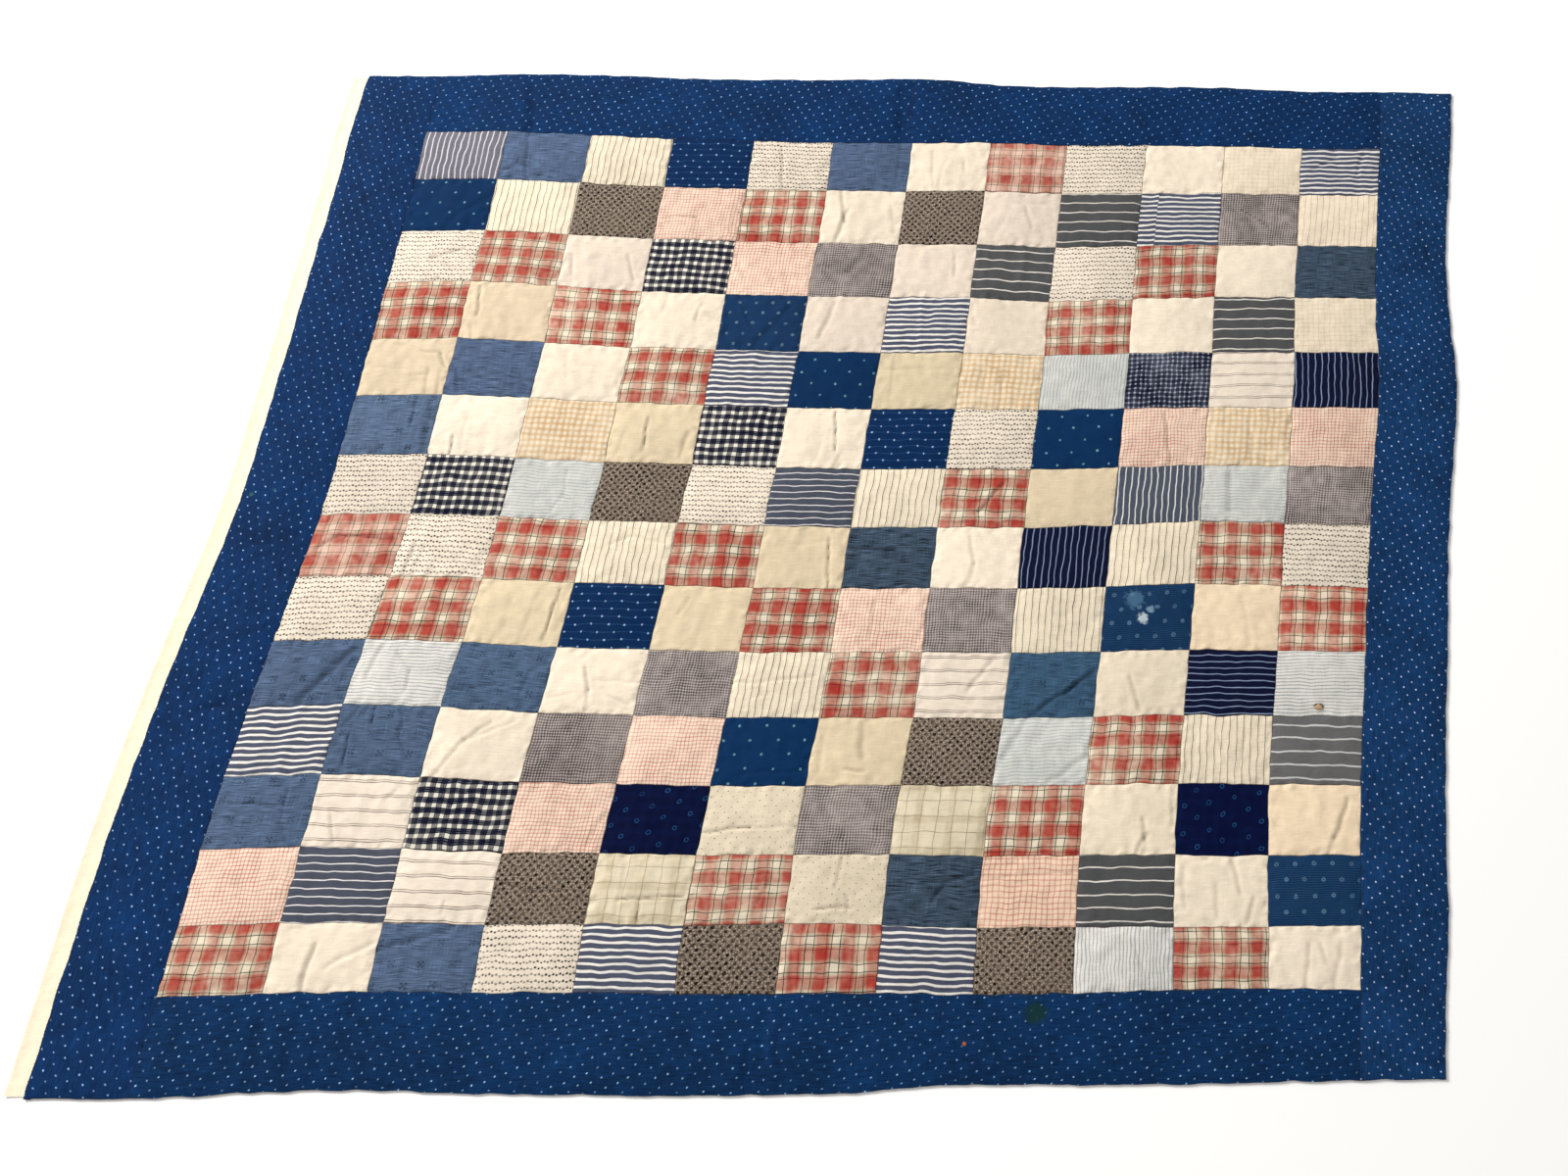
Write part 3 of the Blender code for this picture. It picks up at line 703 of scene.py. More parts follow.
# %% Table of fabrics
PALE_DOT = "#a9c4ee"
WORN_DASH = dict(uneven=0.35, soft=0.35)
FABRICS = {
    "cream": ("#e7d9c5", []),
    "specked_cream": ("#d7c9b9", [dots(9, 8, 4.5, 1.1, 1.1, "#a08977", 0.5, uneven=0.8)]),
    "dotted_cream": ("#d5c8b1", [dots(16, 7.8, 8, 1.7, 1.7, "#4a3a30", 0.95, uneven=0.5)]),
    "tan": ("#d3c2a4", []),
    "peach": ("#e7d2b4", []),
    "slate": ("#4c5d79", []),
    "sprigged_slate": ("#4c5e79", sprigs(43, 29, "#182333", 0.80)),
    "teal_slate": ("#37536d", sprigs(43, 29, "#13202a", 0.70)),
    "dark_slate": ("#394859", []),
    "shirting": (
        "#e2d5be",
        [stripes("up", 10.8, 1.2, "#494038", 0.85), stripes("up", 10.8, 0.6, "#574d44", 0.3, start=2.4)],
    ),
    "brown_shirting": ("#e3d4be", [stripes("up", 9.9, 0.9, "#836f57", 0.6)]),
    "dash": (
        "#ded2c1",
        [dots(9.8, 8.6, 3.0, 3.3, 3.0, "#271f1a", 1.0, start=(0, 0.8, 0), **WORN_DASH)]
        + [dots(9.8, 8.6, 3.0, 3.0, 2.7, "#271f1a", 1.0, start=(4.9, -0.8, 0), **WORN_DASH)]
        + [stripes("across", 8.6, 0.6, "#3b3029", 0.55)],
    ),
    "red_plaid": ("#ddd0ba", plaid(1.0)),
    "faded_plaid": ("#dfbeac", plaid(0.78)),
    "navy_gingham": (
        "#dcd7ca",
        [stripes("across", 14.8, 8.6, "#0a0f2a", 0.92), stripes("up", 14.8, 8.6, "#0a0f2a", 0.76)]
        + check(14.8, 0.8, "#b9bbb8", 0.22, start=1.8, soft=0.3)
        + check(14.8, 0.8, "#b9bbb8", 0.22, start=-1.8, soft=0.3)
        + [crossings(14.8, 8.8, "#060a22", 0.86, soft=0.5)],
    ),
    "small_gingham": ("#9ca4b4", check(8.3, 5.5, "#0b0f26", 0.80, soft=0.5)),
    "tan_gingham": ("#ddcfb7", check(10.0, 4.6, "#bc935e", 0.42, soft=0.9)),
    "pink_check": ("#e5d1bd", check(5.7, 1.6, "#b2564a", 0.48, soft=0.45)),
    "pink_windowpane": ("#e1c5ad", check(8.0, 1.9, "#aa6256", 0.50, soft=0.5)),
    "mauve_check": ("#bbafaa", check(4.25, 2.3, "#241f23", 0.57, soft=0.3)),
    "charcoal_stripe": ("#4c4d4f", [stripes("across", 19.3, 1.9, "#e5dfd6", 0.9)]),
    "grey_stripe": ("#626162", [stripes("across", 20.3, 2.5, "#c3c1c1", 0.95)]),
    "grey_ticking": ("#6b6a74", [stripes("up", 10.0, 1.9, "#d7d5db", 0.95)]),
    "blue_ticking": ("#4a505f", [stripes("up", 10.2, 1.7, "#e3e0d9", 0.95)]),
    "navy_stripe": ("#4a4f62", [stripes("across", 10.0, 3.5, "#e3dfd7", 0.98, soft=0.45)]),
    "thin_navy_stripe": ("#484d5a", [stripes("across", 11.4, 1.5, "#ede7e6", 0.9)]),
    "pinstripe": ("#090f2c", [stripes("up", 10.3, 1.5, "#8292ae", 1.0, soft=0.3)]),
    "blue_hairline": ("#c8c8c2", [stripes("up", 5.4, 1.9, "#919ca0", 0.65)]),
    "white_hairline": ("#d9d6cf", [stripes("up", 5.3, 1.8, "#93999e", 0.8)]),
    "double_line": (
        "#e1d4c4",
        [stripes("across", 21.2, 1.1, "#3a302c", 0.85)]
        + [stripes("across", 21.2, 1.0, "#563f38", 0.8, start=3.0)],
    ),
    "beige_check": ("#e2d4be", check(8.7, 1.0, "#bba581", 0.35)),
    "windowpane": (
        "#d5c9af",
        check(23.5, 0.9, "#564833", 0.62) + check(47, 12, "#a69676", 0.25, start=8, soft=2.0),
    ),
    "sparse_dots": ("#062b52", [dots(40.5, 22.0, 20.2, 4.0, 4.0, "#6898a4", 0.95, uneven=0.4)]),
    "dots_and_lines": (
        "#04264f",
        [dots(25.7, 12.4, 12.9, 3.1, 3.1, PALE_DOT, 0.95, uneven=0.35)]
        + [stripes("across", 12.4, 0.9, "#2f5b80", 0.45)],
    ),
    "sprig": (
        "#133155",
        [dots(27.5, 20.0, 13.7, 5.0, 5.0, "#70899a", 0.8, hollow=0.15, uneven=0.4, soft=0.4)]
        + [stripes("across", 4.2, 0.8, "#092141", 0.4)],
    ),
    "ring_sprig": (
        "#0b2d51",
        [dots(27.5, 23.0, 13.7, 6.2, 6.2, "#68869f", 0.8, hollow=0.35, uneven=0.5, soft=0.3)]
        + [stripes("across", 3.3, 0.8, "#3f6385", 0.35)],
    ),
    "rings": (
        "#01082e",
        [dots(37.2, 20.3, -19.7, 7.0, 7.0, "#24588d", 0.75, hollow=0.62, soft=0.16, rise=0.19, uneven=0.5)]
        + check(18.6, 8.0, "#021542", 0.22, soft=1.2),
    ),
    "brown_print": (
        "#6e6054",
        [blotches(3.6, 2.2, "#b2a596", 0.75), blotches(2.9, 1.2, "#201a16", 0.6)]
        + [dots(12.2, 6.2, 6.1, 5.4, 4.8, "#140f0e", 0.98, turn=0.6, uneven=0.25, soft=0.35)],
    ),
}
PIN_DOT = dict(turn=0.8, uneven=0.75, soft=0.4)
BORDER_PRINT = (
    "#0c2f59",
    [dots(36, 11.9, -8, 2.8, 2.0, PALE_DOT, 1.0, **PIN_DOT)]
    + [dots(36, 11.9, -8, 2.8, 2.0, PALE_DOT, 1.0, start=(15.5, 4.7, 0), **PIN_DOT)],
)
print("fabrics:", len(FABRICS))

# %% [markdown]
# ### Making a fabric
# The print reads the piece's own map of the cloth, so it bends with the cloth. Fading, stains and puckers
# read the place in the room, so they run on over the seams as they do on a used quilt. Every patch carries
# a tone of its own, since no two scraps faded alike, and a number that tells how near a seam is: the seam
# and its turned edge get a painted shade with some grime. The folds get a painted shade with some dust.

# %% Fabric maker
THREAD = 0.6  # millimetres
WEAVE_BUMP = 0.05
PUCKER_BUMP = 1.6
FOLD_SHADE_AND_DUST = 0.36  # painted shade with some dust: how far the deepest folds are darkened
FOLD_SHADE = "#403b39"
PRINT_FADE = 0.8  # how much of a print the wear takes with it
# painted shade with some grime along seams, turned edges and rolled rims: its colour, strength and reach
SEAM_SHADE_AND_GRIME_COLOUR = "#2a2019"
SEAM_SHADE_AND_GRIME = 0.45
SEAM_SHADE_REACH = (0.1, 1.3)  # millimetres from the seam, over which the painted shade fades out
ROUGHNESS = 0.88
GLOSS = 0.08


def mixed(tree, share, under, over, how="MIX"):
    """One colour over another."""
    wires = {0: share, 6: under, 7: over}
    return put(tree, "ShaderNodeMix", wires, data_type="RGBA", blend_type=how).outputs[2]


def cotton(name, ground, layers, slub_strength=0.10, fade_strength=0.22, marks=()):
    """A washed cotton with its print, its weave, its wear and painted shade at its seams and folds."""
    material = bpy.data.materials.new(name)
    material.use_nodes = True
    tree = material.node_tree
    work = partial(calc, tree)
    shader = tree.nodes["Principled BSDF"]
    room = put(tree, "ShaderNodeTexCoord").outputs["Object"]
    cloth = put(tree, "ShaderNodeUVMap", uv_map="cloth").outputs[0]
    cloth = use(tree, wander_group, {"Cloth": stretched(tree, cloth, 1000.0, 1000.0)})[0]
    parts = split(tree, cloth)
    weave = use(tree, weave_group, {"Cloth": cloth, "Thread": THREAD})
    fade = use(tree, wear_group, {"Place": room})[0]
    colour = dye(ground)
    for group, wires, run, over, strength in layers:
        place = {"Place": parts[run]} if run else {"Cloth": cloth}
        mask = use(tree, group, {**place, **wires})[0]
        worn = work("MULTIPLY_ADD", fade, -PRINT_FADE, strength)
        colour = mixed(tree, work("MULTIPLY", mask, worn), colour, dye(over))
    slubs = work("MULTIPLY_ADD", weave["Slubs"], slub_strength * 2, 1.0)
    light = work("MULTIPLY", slubs, work("MULTIPLY_ADD", fade, fade_strength, 1.0))
    tone = put(tree, "ShaderNodeAttribute", attribute_name="tone").outputs["Vector"]
    tone = put(tree, "ShaderNodeVectorMath", {0: tone, "Scale": light}, operation="SCALE").outputs[0]
    colour = mixed(tree, 1.0, colour, tone, "MULTIPLY")
    for middle, radius, ragged, stain, strength in marks:
        wires = {"Place": room, "Middle": middle, "Radius": radius, "Ragged": ragged}
        mask = use(tree, mark_group, wires)[0]
        colour = mixed(tree, work("MULTIPLY", mask, strength), colour, dye(stain))
    from_seam = put(tree, "ShaderNodeAttribute", attribute_name="from_seam").outputs["Fac"]
    # painted shade with some grime: darker within about a millimetre of a seam, a turned edge or a rolled rim
    seam_shade_and_grime = work("MULTIPLY", soft_step(tree, from_seam, *SEAM_SHADE_REACH), SEAM_SHADE_AND_GRIME)
    colour = mixed(tree, seam_shade_and_grime, colour, dye(SEAM_SHADE_AND_GRIME_COLOUR))
    fold = put(tree, "ShaderNodeAttribute", attribute_name="fold").outputs["Fac"]
    # painted shade with some dust: darker the deeper a point lies in a fold
    colour = mixed(tree, work("MULTIPLY", fold, FOLD_SHADE_AND_DUST), colour, dye(FOLD_SHADE), "MULTIPLY")
    tree.links.new(colour, shader.inputs["Base Color"])
    roughness = work("MULTIPLY_ADD", fade, 0.15, ROUGHNESS)
    tree.links.new(roughness, shader.inputs["Roughness"])
    shader.inputs["Specular IOR Level"].default_value = GLOSS
    puckers = use(tree, pucker_group, {"Place": room, "From Seam": from_seam})[0]
    height = work("MULTIPLY", weave["Height"], WEAVE_BUMP)
    height = work("ADD", height, work("MULTIPLY", weave["Slubs"], WEAVE_BUMP))
    height = work("ADD", height, work("MULTIPLY", puckers, PUCKER_BUMP))
    bump = put(tree, "ShaderNodeBump", {"Height": height, "Distance": 0.001, "Strength": 1.0})
    tree.links.new(bump.outputs[0], shader.inputs["Normal"])
    return material


print("fabrics in the table:", len(FABRICS))

# %% [markdown]
# ### Stains and the finished fabrics
# A mark is placed by counting seams, like everything else. The border has a green stain, a small orange
# spot and two green specks. One dotted blue patch was splashed with bleach.

# %% Finished fabrics
def mark(across, down, radius, ragged, colour, strength):
    """A stain or a bleached spot, with its place on the quilt turned into metres."""
    return (*map(float, cloth_place(across, down)), 0.0), radius, ragged, colour, strength


STAINS = (
    # across, down, radius, raggedness, colour, strength
    mark(8.64, 14.22, 0.017, 0.25, "#12302a", 0.85),
    mark(7.96, 14.55, 0.003, 0.2, "#b4643c", 0.8),
    mark(-0.88, 6.69, 0.004, 0.3, "#2d5d4c", 0.7),
    mark(-0.62, 6.62, 0.003, 0.3, "#2d5d4c", 0.6),
)
BLEACH = (
    mark(9.44, 8.51, 0.009, 0.45, "#c2d2d8", 0.75),
    mark(9.52, 8.38, 0.007, 0.5, "#8fb0c2", 0.5),
    mark(9.33, 8.22, 0.016, 0.4, "#5d86a4", 0.4),
)
STREAKED = {"slate": 0.75, "sprigged_slate": 0.7, "teal_slate": 0.7, "dark_slate": 1.15}  # uneven dye
PLAIN_SLUBS = 0.09
cottons = {}
for fabric, (ground, layers) in FABRICS.items():
    marks = BLEACH if fabric == "ring_sprig" else ()
    cottons[fabric] = cotton(fabric, ground, layers, STREAKED.get(fabric, PLAIN_SLUBS), marks=marks)
border_cotton = cotton("indigo_pin_dot", *BORDER_PRINT, 0.5, 0.9, marks=STAINS)
muslin = cotton("cream_muslin", "#f6e7cd", [], 0.06, 0.12)
print("finishes:", len(bpy.data.materials))

# %% [markdown]
# ## Laying a sheet of cloth
# Every piece of the top is a grid of points over a stretch of the quilt. The grid lines crowd beside the
# seams, where the cloth turns down, and are wider apart elsewhere. At a sewn side the last line drops
# straight down, as the cut edge does when it is turned into the seam. At a rim the cloth rolls round and
# comes back underneath as a hem. Solidify gives the borders and the backing their thickness. A patch with
# small folds would cross itself that way, so it is closed by a plainer layer of its own just below it.

# %% Grid lines
STEP = 0.0055  # distance between grid lines away from the seams
FOLD_STEP = 0.0029  # the same on a patch with folds
NEAR_SEAM = (0.0007, 0.0016, 0.0032)
TURNED_DOWN = 0.0014  # how far a cut edge is turned into its seam
SEAM_GAP = 0.0001  # half of the gap that a seam shows
CLOTH_THICKNESS = 0.0005
ROLL_BOTTOM = 0.0013  # the rolled rim lies on the backing, this far above the floor
ROLL = (RIM_HEIGHT - ROLL_BOTTOM) / 2  # radius of the rolled rim
HEM_STEPS = (0.004, 0.009)


def between(first, last, length, near_first=True, near_last=True, step=STEP):
    """Places from one seam to the next, close together beside a seam."""
    start = [0.0, *NEAR_SEAM] if near_first else [0.0]
    end = [length - far for far in reversed(NEAR_SEAM)] + [length] if near_last else [length]
    count = max(round((end[0] - start[-1]) / step), 1)
    inner = np.linspace(start[-1], end[0], count + 1)[1:-1]
    return [first + (last - first) * far / length for far in (*start, *inner, *end)]


def sewn_side(place, inward):
    """The line of a turned-down cut edge: place, step inward and drop."""
    return [(place, inward * SEAM_GAP, TURNED_DOWN)]


def hemmed_side(place, inward):
    """The lines of a rolled rim and its hem, from the hem's edge outwards and up to the top face."""
    hem = [(place, inward * (ROLL + far), 2 * ROLL) for far in reversed(HEM_STEPS)]
    for angle in (180, 150, 120, 90, 60, 30):
        turn = math.radians(angle)
        hem.append((place, inward * ROLL * (1 - math.sin(turn)), ROLL * (1 - math.cos(turn))))
    return hem


def lay_lines(places, first_rim=False, last_rim=False):
    """All lines of a piece in one direction, with those of its two sides, each sewn or a rim."""
    body = [(place, 0.0, 0.0) for place in places]
    body[0] = (places[0], (ROLL if first_rim else SEAM_GAP), 0.0)
    body[-1] = (places[-1], -(ROLL if last_rim else SEAM_GAP), 0.0)
    first_side = (hemmed_side if first_rim else sewn_side)(places[0], 1)
    last_side = (hemmed_side if last_rim else sewn_side)(places[-1], -1)
    return first_side + body + last_side[::-1]


print("lines across a patch:", len(between(0, 1, PATCH_WIDTH)))

# %% [markdown]
# A patch is closed from below by a coarser grid. Each of its points lies under the lowest of the nine points
# around it, so no fold of the upper grid reaches it. The two turned-down edges meet in one point at each
# corner of the patch.

# %% Closing a patch
def close_below(points, faces, rows, columns):
    """Close a grid of cloth by a coarser layer just under it, which no fold of the grid reaches."""
    low = points[:, 2].reshape(rows, columns)
    for _ in range(2):
        wide = np.pad(low, 1, mode="edge")
        nine = [wide[up : up + rows, left : left + columns] for up in range(3) for left in range(3)]
        low = np.min(nine, axis=0)
    under = points.copy()
    under[:, 2] = low.ravel() - CLOTH_THICKNESS
    below = rows * columns
    row_stops = sorted({*range(0, rows - 1, 2), rows - 1})
    column_stops = sorted({*range(0, columns - 1, 2), columns - 1})
    for top, bottom in zip(row_stops, row_stops[1:]):
        for left, right in zip(column_stops, column_stops[1:]):
            ring = [(top, place) for place in (range(left, right) if top == 0 else [left])]
            ring += [(place, right) for place in (range(top, bottom) if right == columns - 1 else [top])]
            ring += [(bottom, place) for place in (range(right, left, -1) if bottom == rows - 1 else [right])]
            ring += [(place, left) for place in (range(bottom, top, -1) if left == 0 else [bottom])]
            faces.append([below + row * columns + column for row, column in ring])
    rim = [*range(columns)] + [row * columns + columns - 1 for row in range(1, rows)]
    rim += [(rows - 1) * columns + place for place in range(columns - 2, -1, -1)]
    rim += [row * columns for row in range(rows - 2, 0, -1)]
    faces += [[here, after, after + below, here + below] for here, after in zip(rim, rim[1:] + rim[:1])]
    same = np.arange(2 * below)
    for row, row_in in ((0, 1), (rows - 1, rows - 2)):
        for column, column_in in ((0, 1), (columns - 1, columns - 2)):
            for layer in (0, below):
                beside = [row * columns + column_in + layer, row_in * columns + column + layer]
                same[beside] = row * columns + column + layer
    kept = []
    for face in faces:
        ring = [same[point] for point in face]
        ring = [point for place, point in enumerate(ring) if point != ring[place - 1]]
        if len(set(ring)) > 2:
            kept.append(ring)
    used, renumbered = np.unique(np.concatenate(kept), return_inverse=True)
    ends = np.cumsum([len(ring) for ring in kept])[:-1]
    kept = [ring.tolist() for ring in np.split(renumbered, ends)]
    return np.concatenate((points, under))[used], kept, used % below


print("a flat grid of 5 by 5 points is closed by", len(close_below(np.zeros((25, 3)), [], 5, 5)[1]), "faces")

# %% [markdown]
# The sheet function turns two sets of lines into a mesh. The map of the cloth is measured along the cloth
# itself, from the middle of the piece, and can be turned by a quarter for stripes that run up.

# %% Mesh of a cloth
def grid_faces(rows, columns):
    """The four-sided faces of a grid of points."""
    corner = (np.arange(rows - 1)[:, None] * columns + np.arange(columns - 1)[None, :]).ravel()
    return np.stack((corner, corner + columns, corner + columns + 1, corner + 1), -1).tolist()


def linked(name, mesh, material):
    """An object in the scene for a finished mesh."""
    mesh.materials.append(material)
    piece = bpy.data.objects.new(name, mesh)
    bpy.context.scene.collection.objects.link(piece)
    return piece


def cloth_piece(name, material, points, faces, cloth_map, tone, **values):
    """A piece of cloth with its own map, and with its tone and the other values at its points."""
    mesh = bpy.data.meshes.new(name)
    mesh.from_pydata(points.tolist(), [], faces)
    corners = np.empty(len(mesh.loops), int)
    mesh.loops.foreach_get("vertex_index", corners)
    mesh.uv_layers.new(name="cloth").data.foreach_set("uv", cloth_map[corners].ravel())
    for label, value in values.items():
        mesh.attributes.new(label, "FLOAT", "POINT").data.foreach_set("value", value)
    tones = np.tile(tone, len(points))
    mesh.attributes.new("tone", "FLOAT_VECTOR", "POINT").data.foreach_set("vector", tones)
    return linked(name, mesh, material)


print("a grid of 3 by 4 points has", len(grid_faces(3, 4)), "faces")

# %% [markdown]
# One function lays every piece. It takes the lines of both directions, asks for the place and the height
# where they cross, and measures the map of the cloth. At each point it also keeps how deep in a fold and how
# far from a seam it is: the fabrics darken both with painted shade, with some dust in the folds and some
# grime at the seams, and the nearness of a seam also sets the puckers.

# %% Laying function
DEEP_FOLD = 0.0022  # a fold of this depth gets the full painted shade and dust
FLAT_ACROSS = np.concatenate(([-BORDER_WIDTH], COLUMN_SEAMS, [COLUMN_SEAMS[-1] + BORDER_WIDTH]))
FLAT_DOWN = np.concatenate(([-BORDER_WIDTH], ROW_SEAMS, [ROW_SEAMS[-1] + BORDER_WIDTH]))


def lay_sheet(
    name, material, across_lines, down_lines, tone, map_offset, quarter=False, tilt=0, folds=(), closed=False
):
    """One closed thin sheet of cloth over a stretch of the quilt."""
    across, step_x, drop_x = (np.array(values)[None, :] for values in zip(*across_lines))
    down, step_y, drop_y = (np.array(values)[:, None] for values in zip(*down_lines))
    across, down = np.broadcast_arrays(across, down)
    x, y = nudged(across, down)
    z = cloth_height(across, down, folds)
    drop = np.maximum(drop_x, drop_y)
    points = np.stack((x + step_x, y - step_y, z - drop), -1).reshape(-1, 3)
    # how much painted shade and dust each point gets from the folds
    fold_shade_and_dust = np.clip(fold_depth(across, down, folds) / DEEP_FOLD, 0, 1) ** 1.5
    # turned-down edges and rolled rims count as on a seam, so they get the full painted seam shade
    from_seam = np.where(drop > 0, 0.0, 1000 * seam_distance(across, down))
    flat_x = np.interp(across, range(-1, ACROSS + 2), FLAT_ACROSS)
    flat_y = -np.interp(down, range(-1, DOWN + 2), FLAT_DOWN)
    flat_x = flat_x - flat_x.mean() - step_x
    flat_y = flat_y - flat_y.mean() + step_y
    turn = math.radians(90 * quarter + tilt)
    flat_x, flat_y = (
        flat_x * math.cos(turn) - flat_y * math.sin(turn) + map_offset[0],
        flat_x * math.sin(turn) + flat_y * math.cos(turn) + map_offset[1],
    )
    cloth_map = np.stack((flat_x, flat_y), -1).reshape(-1, 2)
    rows, columns = across.shape
    faces, used = grid_faces(rows, columns), np.arange(rows * columns)
    if closed:
        points, faces, used = close_below(points, faces, rows, columns)
    values = {"fold": fold_shade_and_dust.ravel()[used], "from_seam": from_seam.ravel()[used]}
    piece = cloth_piece(name, material, points, faces, cloth_map[used], tone, **values)
    return smoothed(piece) if closed else thickened(piece)


# the darkening of a fold is painted shade with some dust
print("a fold of", 1000 * DEEP_FOLD, "mm is as soiled as folds get")

# %% [markdown]
# A border is laid as an open sheet with a rolled rim, and the Solidify modifier gives it its thickness. A
# patch is closed already. Both are shaded smooth, with their cut edges kept sharp.

# %% Thickness and shading
def apply_modifier(piece, modifier):
    """Apply a modifier with nothing else selected."""
    bpy.ops.object.select_all(action="DESELECT")
    piece.select_set(True)
    bpy.context.view_layer.objects.active = piece
    bpy.ops.object.modifier_apply(modifier=modifier.name)


def thickened(piece):
    """Give a laid sheet its thickness downwards, and smooth it but for its cut edges."""
    shape = bmesh.new()
    shape.from_mesh(piece.data)
    bmesh.ops.remove_doubles(shape, verts=shape.verts, dist=1e-6)
    shape.to_mesh(piece.data)
    shape.free()
    solid = piece.modifiers.new("thickness", "SOLIDIFY")
    solid.thickness = CLOTH_THICKNESS
    solid.offset = -1.0
    apply_modifier(piece, solid)
    return smoothed(piece)


def smoothed(piece):
    """Shade a piece smooth but for its sharp edges."""
    piece.data.shade_smooth()
    piece.data.set_sharp_from_angle(angle=math.radians(50))
    return piece


print("the cloth is", 1000 * CLOTH_THICKNESS, "mm thick")

# %% [markdown]
# ## The patchwork
# The chart names the cloth of every patch, as a quilter would pin scraps to a wall. A bar after a name
# turns the cloth by a quarter, so that its lines run the other way. Each patch is cut with its own small
# tilt and starts somewhere else in the print, both drawn from a seed. A patch is modelled alone and not as
# one big painted sheet, because its turned edges and the dip of the seam are what makes it look sewn.

# %% Chart of the patches
CHART = (
    "grey_ticking slate shirting dots_and_lines dash slate cream faded_plaid dash cream beige_check"
    " navy_stripe",
    "sparse_dots shirting brown_print pink_check red_plaid cream brown_print specked_cream charcoal_stripe"
    " navy_stripe mauve_check brown_shirting",
    "dash red_plaid specked_cream navy_gingham pink_check mauve_check specked_cream charcoal_stripe dash"
    " red_plaid cream dark_slate",
    "red_plaid tan red_plaid cream sprig specked_cream navy_stripe cream red_plaid cream charcoal_stripe"
    " beige_check",
    "tan slate cream red_plaid navy_stripe sparse_dots tan tan_gingham blue_hairline small_gingham"
    " double_line pinstripe",
    "sprigged_slate cream tan_gingham tan navy_gingham cream dots_and_lines dash sparse_dots pink_check"
    " tan_gingham pink_check",
    "dash navy_gingham blue_hairline| brown_print dash thin_navy_stripe shirting red_plaid tan blue_ticking"
    " blue_hairline| mauve_check",
    "faded_plaid dash red_plaid shirting red_plaid tan dark_slate cream pinstripe shirting red_plaid dash",
    "dash red_plaid tan dots_and_lines tan red_plaid pink_check mauve_check shirting ring_sprig peach"
    " red_plaid",
    "sprigged_slate white_hairline| sprigged_slate cream mauve_check shirting red_plaid double_line"
    " teal_slate cream pinstripe| white_hairline|",
    "navy_stripe sprigged_slate cream mauve_check pink_check sparse_dots tan brown_print blue_hairline|"
    " red_plaid shirting grey_stripe",
    "sprigged_slate double_line navy_gingham pink_check rings dotted_cream mauve_check windowpane red_plaid"
    " cream rings peach",
    "pink_check thin_navy_stripe double_line brown_print windowpane red_plaid dotted_cream dark_slate"
    " pink_windowpane charcoal_stripe cream ring_sprig",
    "red_plaid cream sprigged_slate dash navy_stripe brown_print red_plaid navy_stripe brown_print"
    " white_hairline red_plaid cream",
)
print("rows in the chart:", len(CHART))

# %% [markdown]
# Some patches faded or yellowed more than the rest of their cloth, so they are shaded one by one.

# %% Faded patches
TINTS = {
    # row, column: red, green and blue multiplied
    (1, 12): (1.02, 1.02, 1.04),
    (4, 2): (1.06, 1.04, 1.08),
    (4, 8): (0.93, 0.92, 0.92),
    (5, 1): (1.04, 1.03, 1.07),
    (5, 7): (0.93, 0.94, 0.93),
    (6, 1): (1.1, 1.08, 1.05),
    (6, 2): (1.04, 1.05, 1.06),
    (9, 12): (1.06, 1.0, 1.0),
    (10, 3): (0.84, 0.9, 0.9),
    (10, 10): (0.96, 0.96, 0.93),
    (11, 2): (0.95, 0.96, 0.95),
    (11, 4): (0.92, 0.9, 0.9),
    (12, 10): (0.96, 0.96, 0.92),
    (13, 11): (0.93, 0.93, 0.92),
}
print("shaded patches:", len(TINTS))
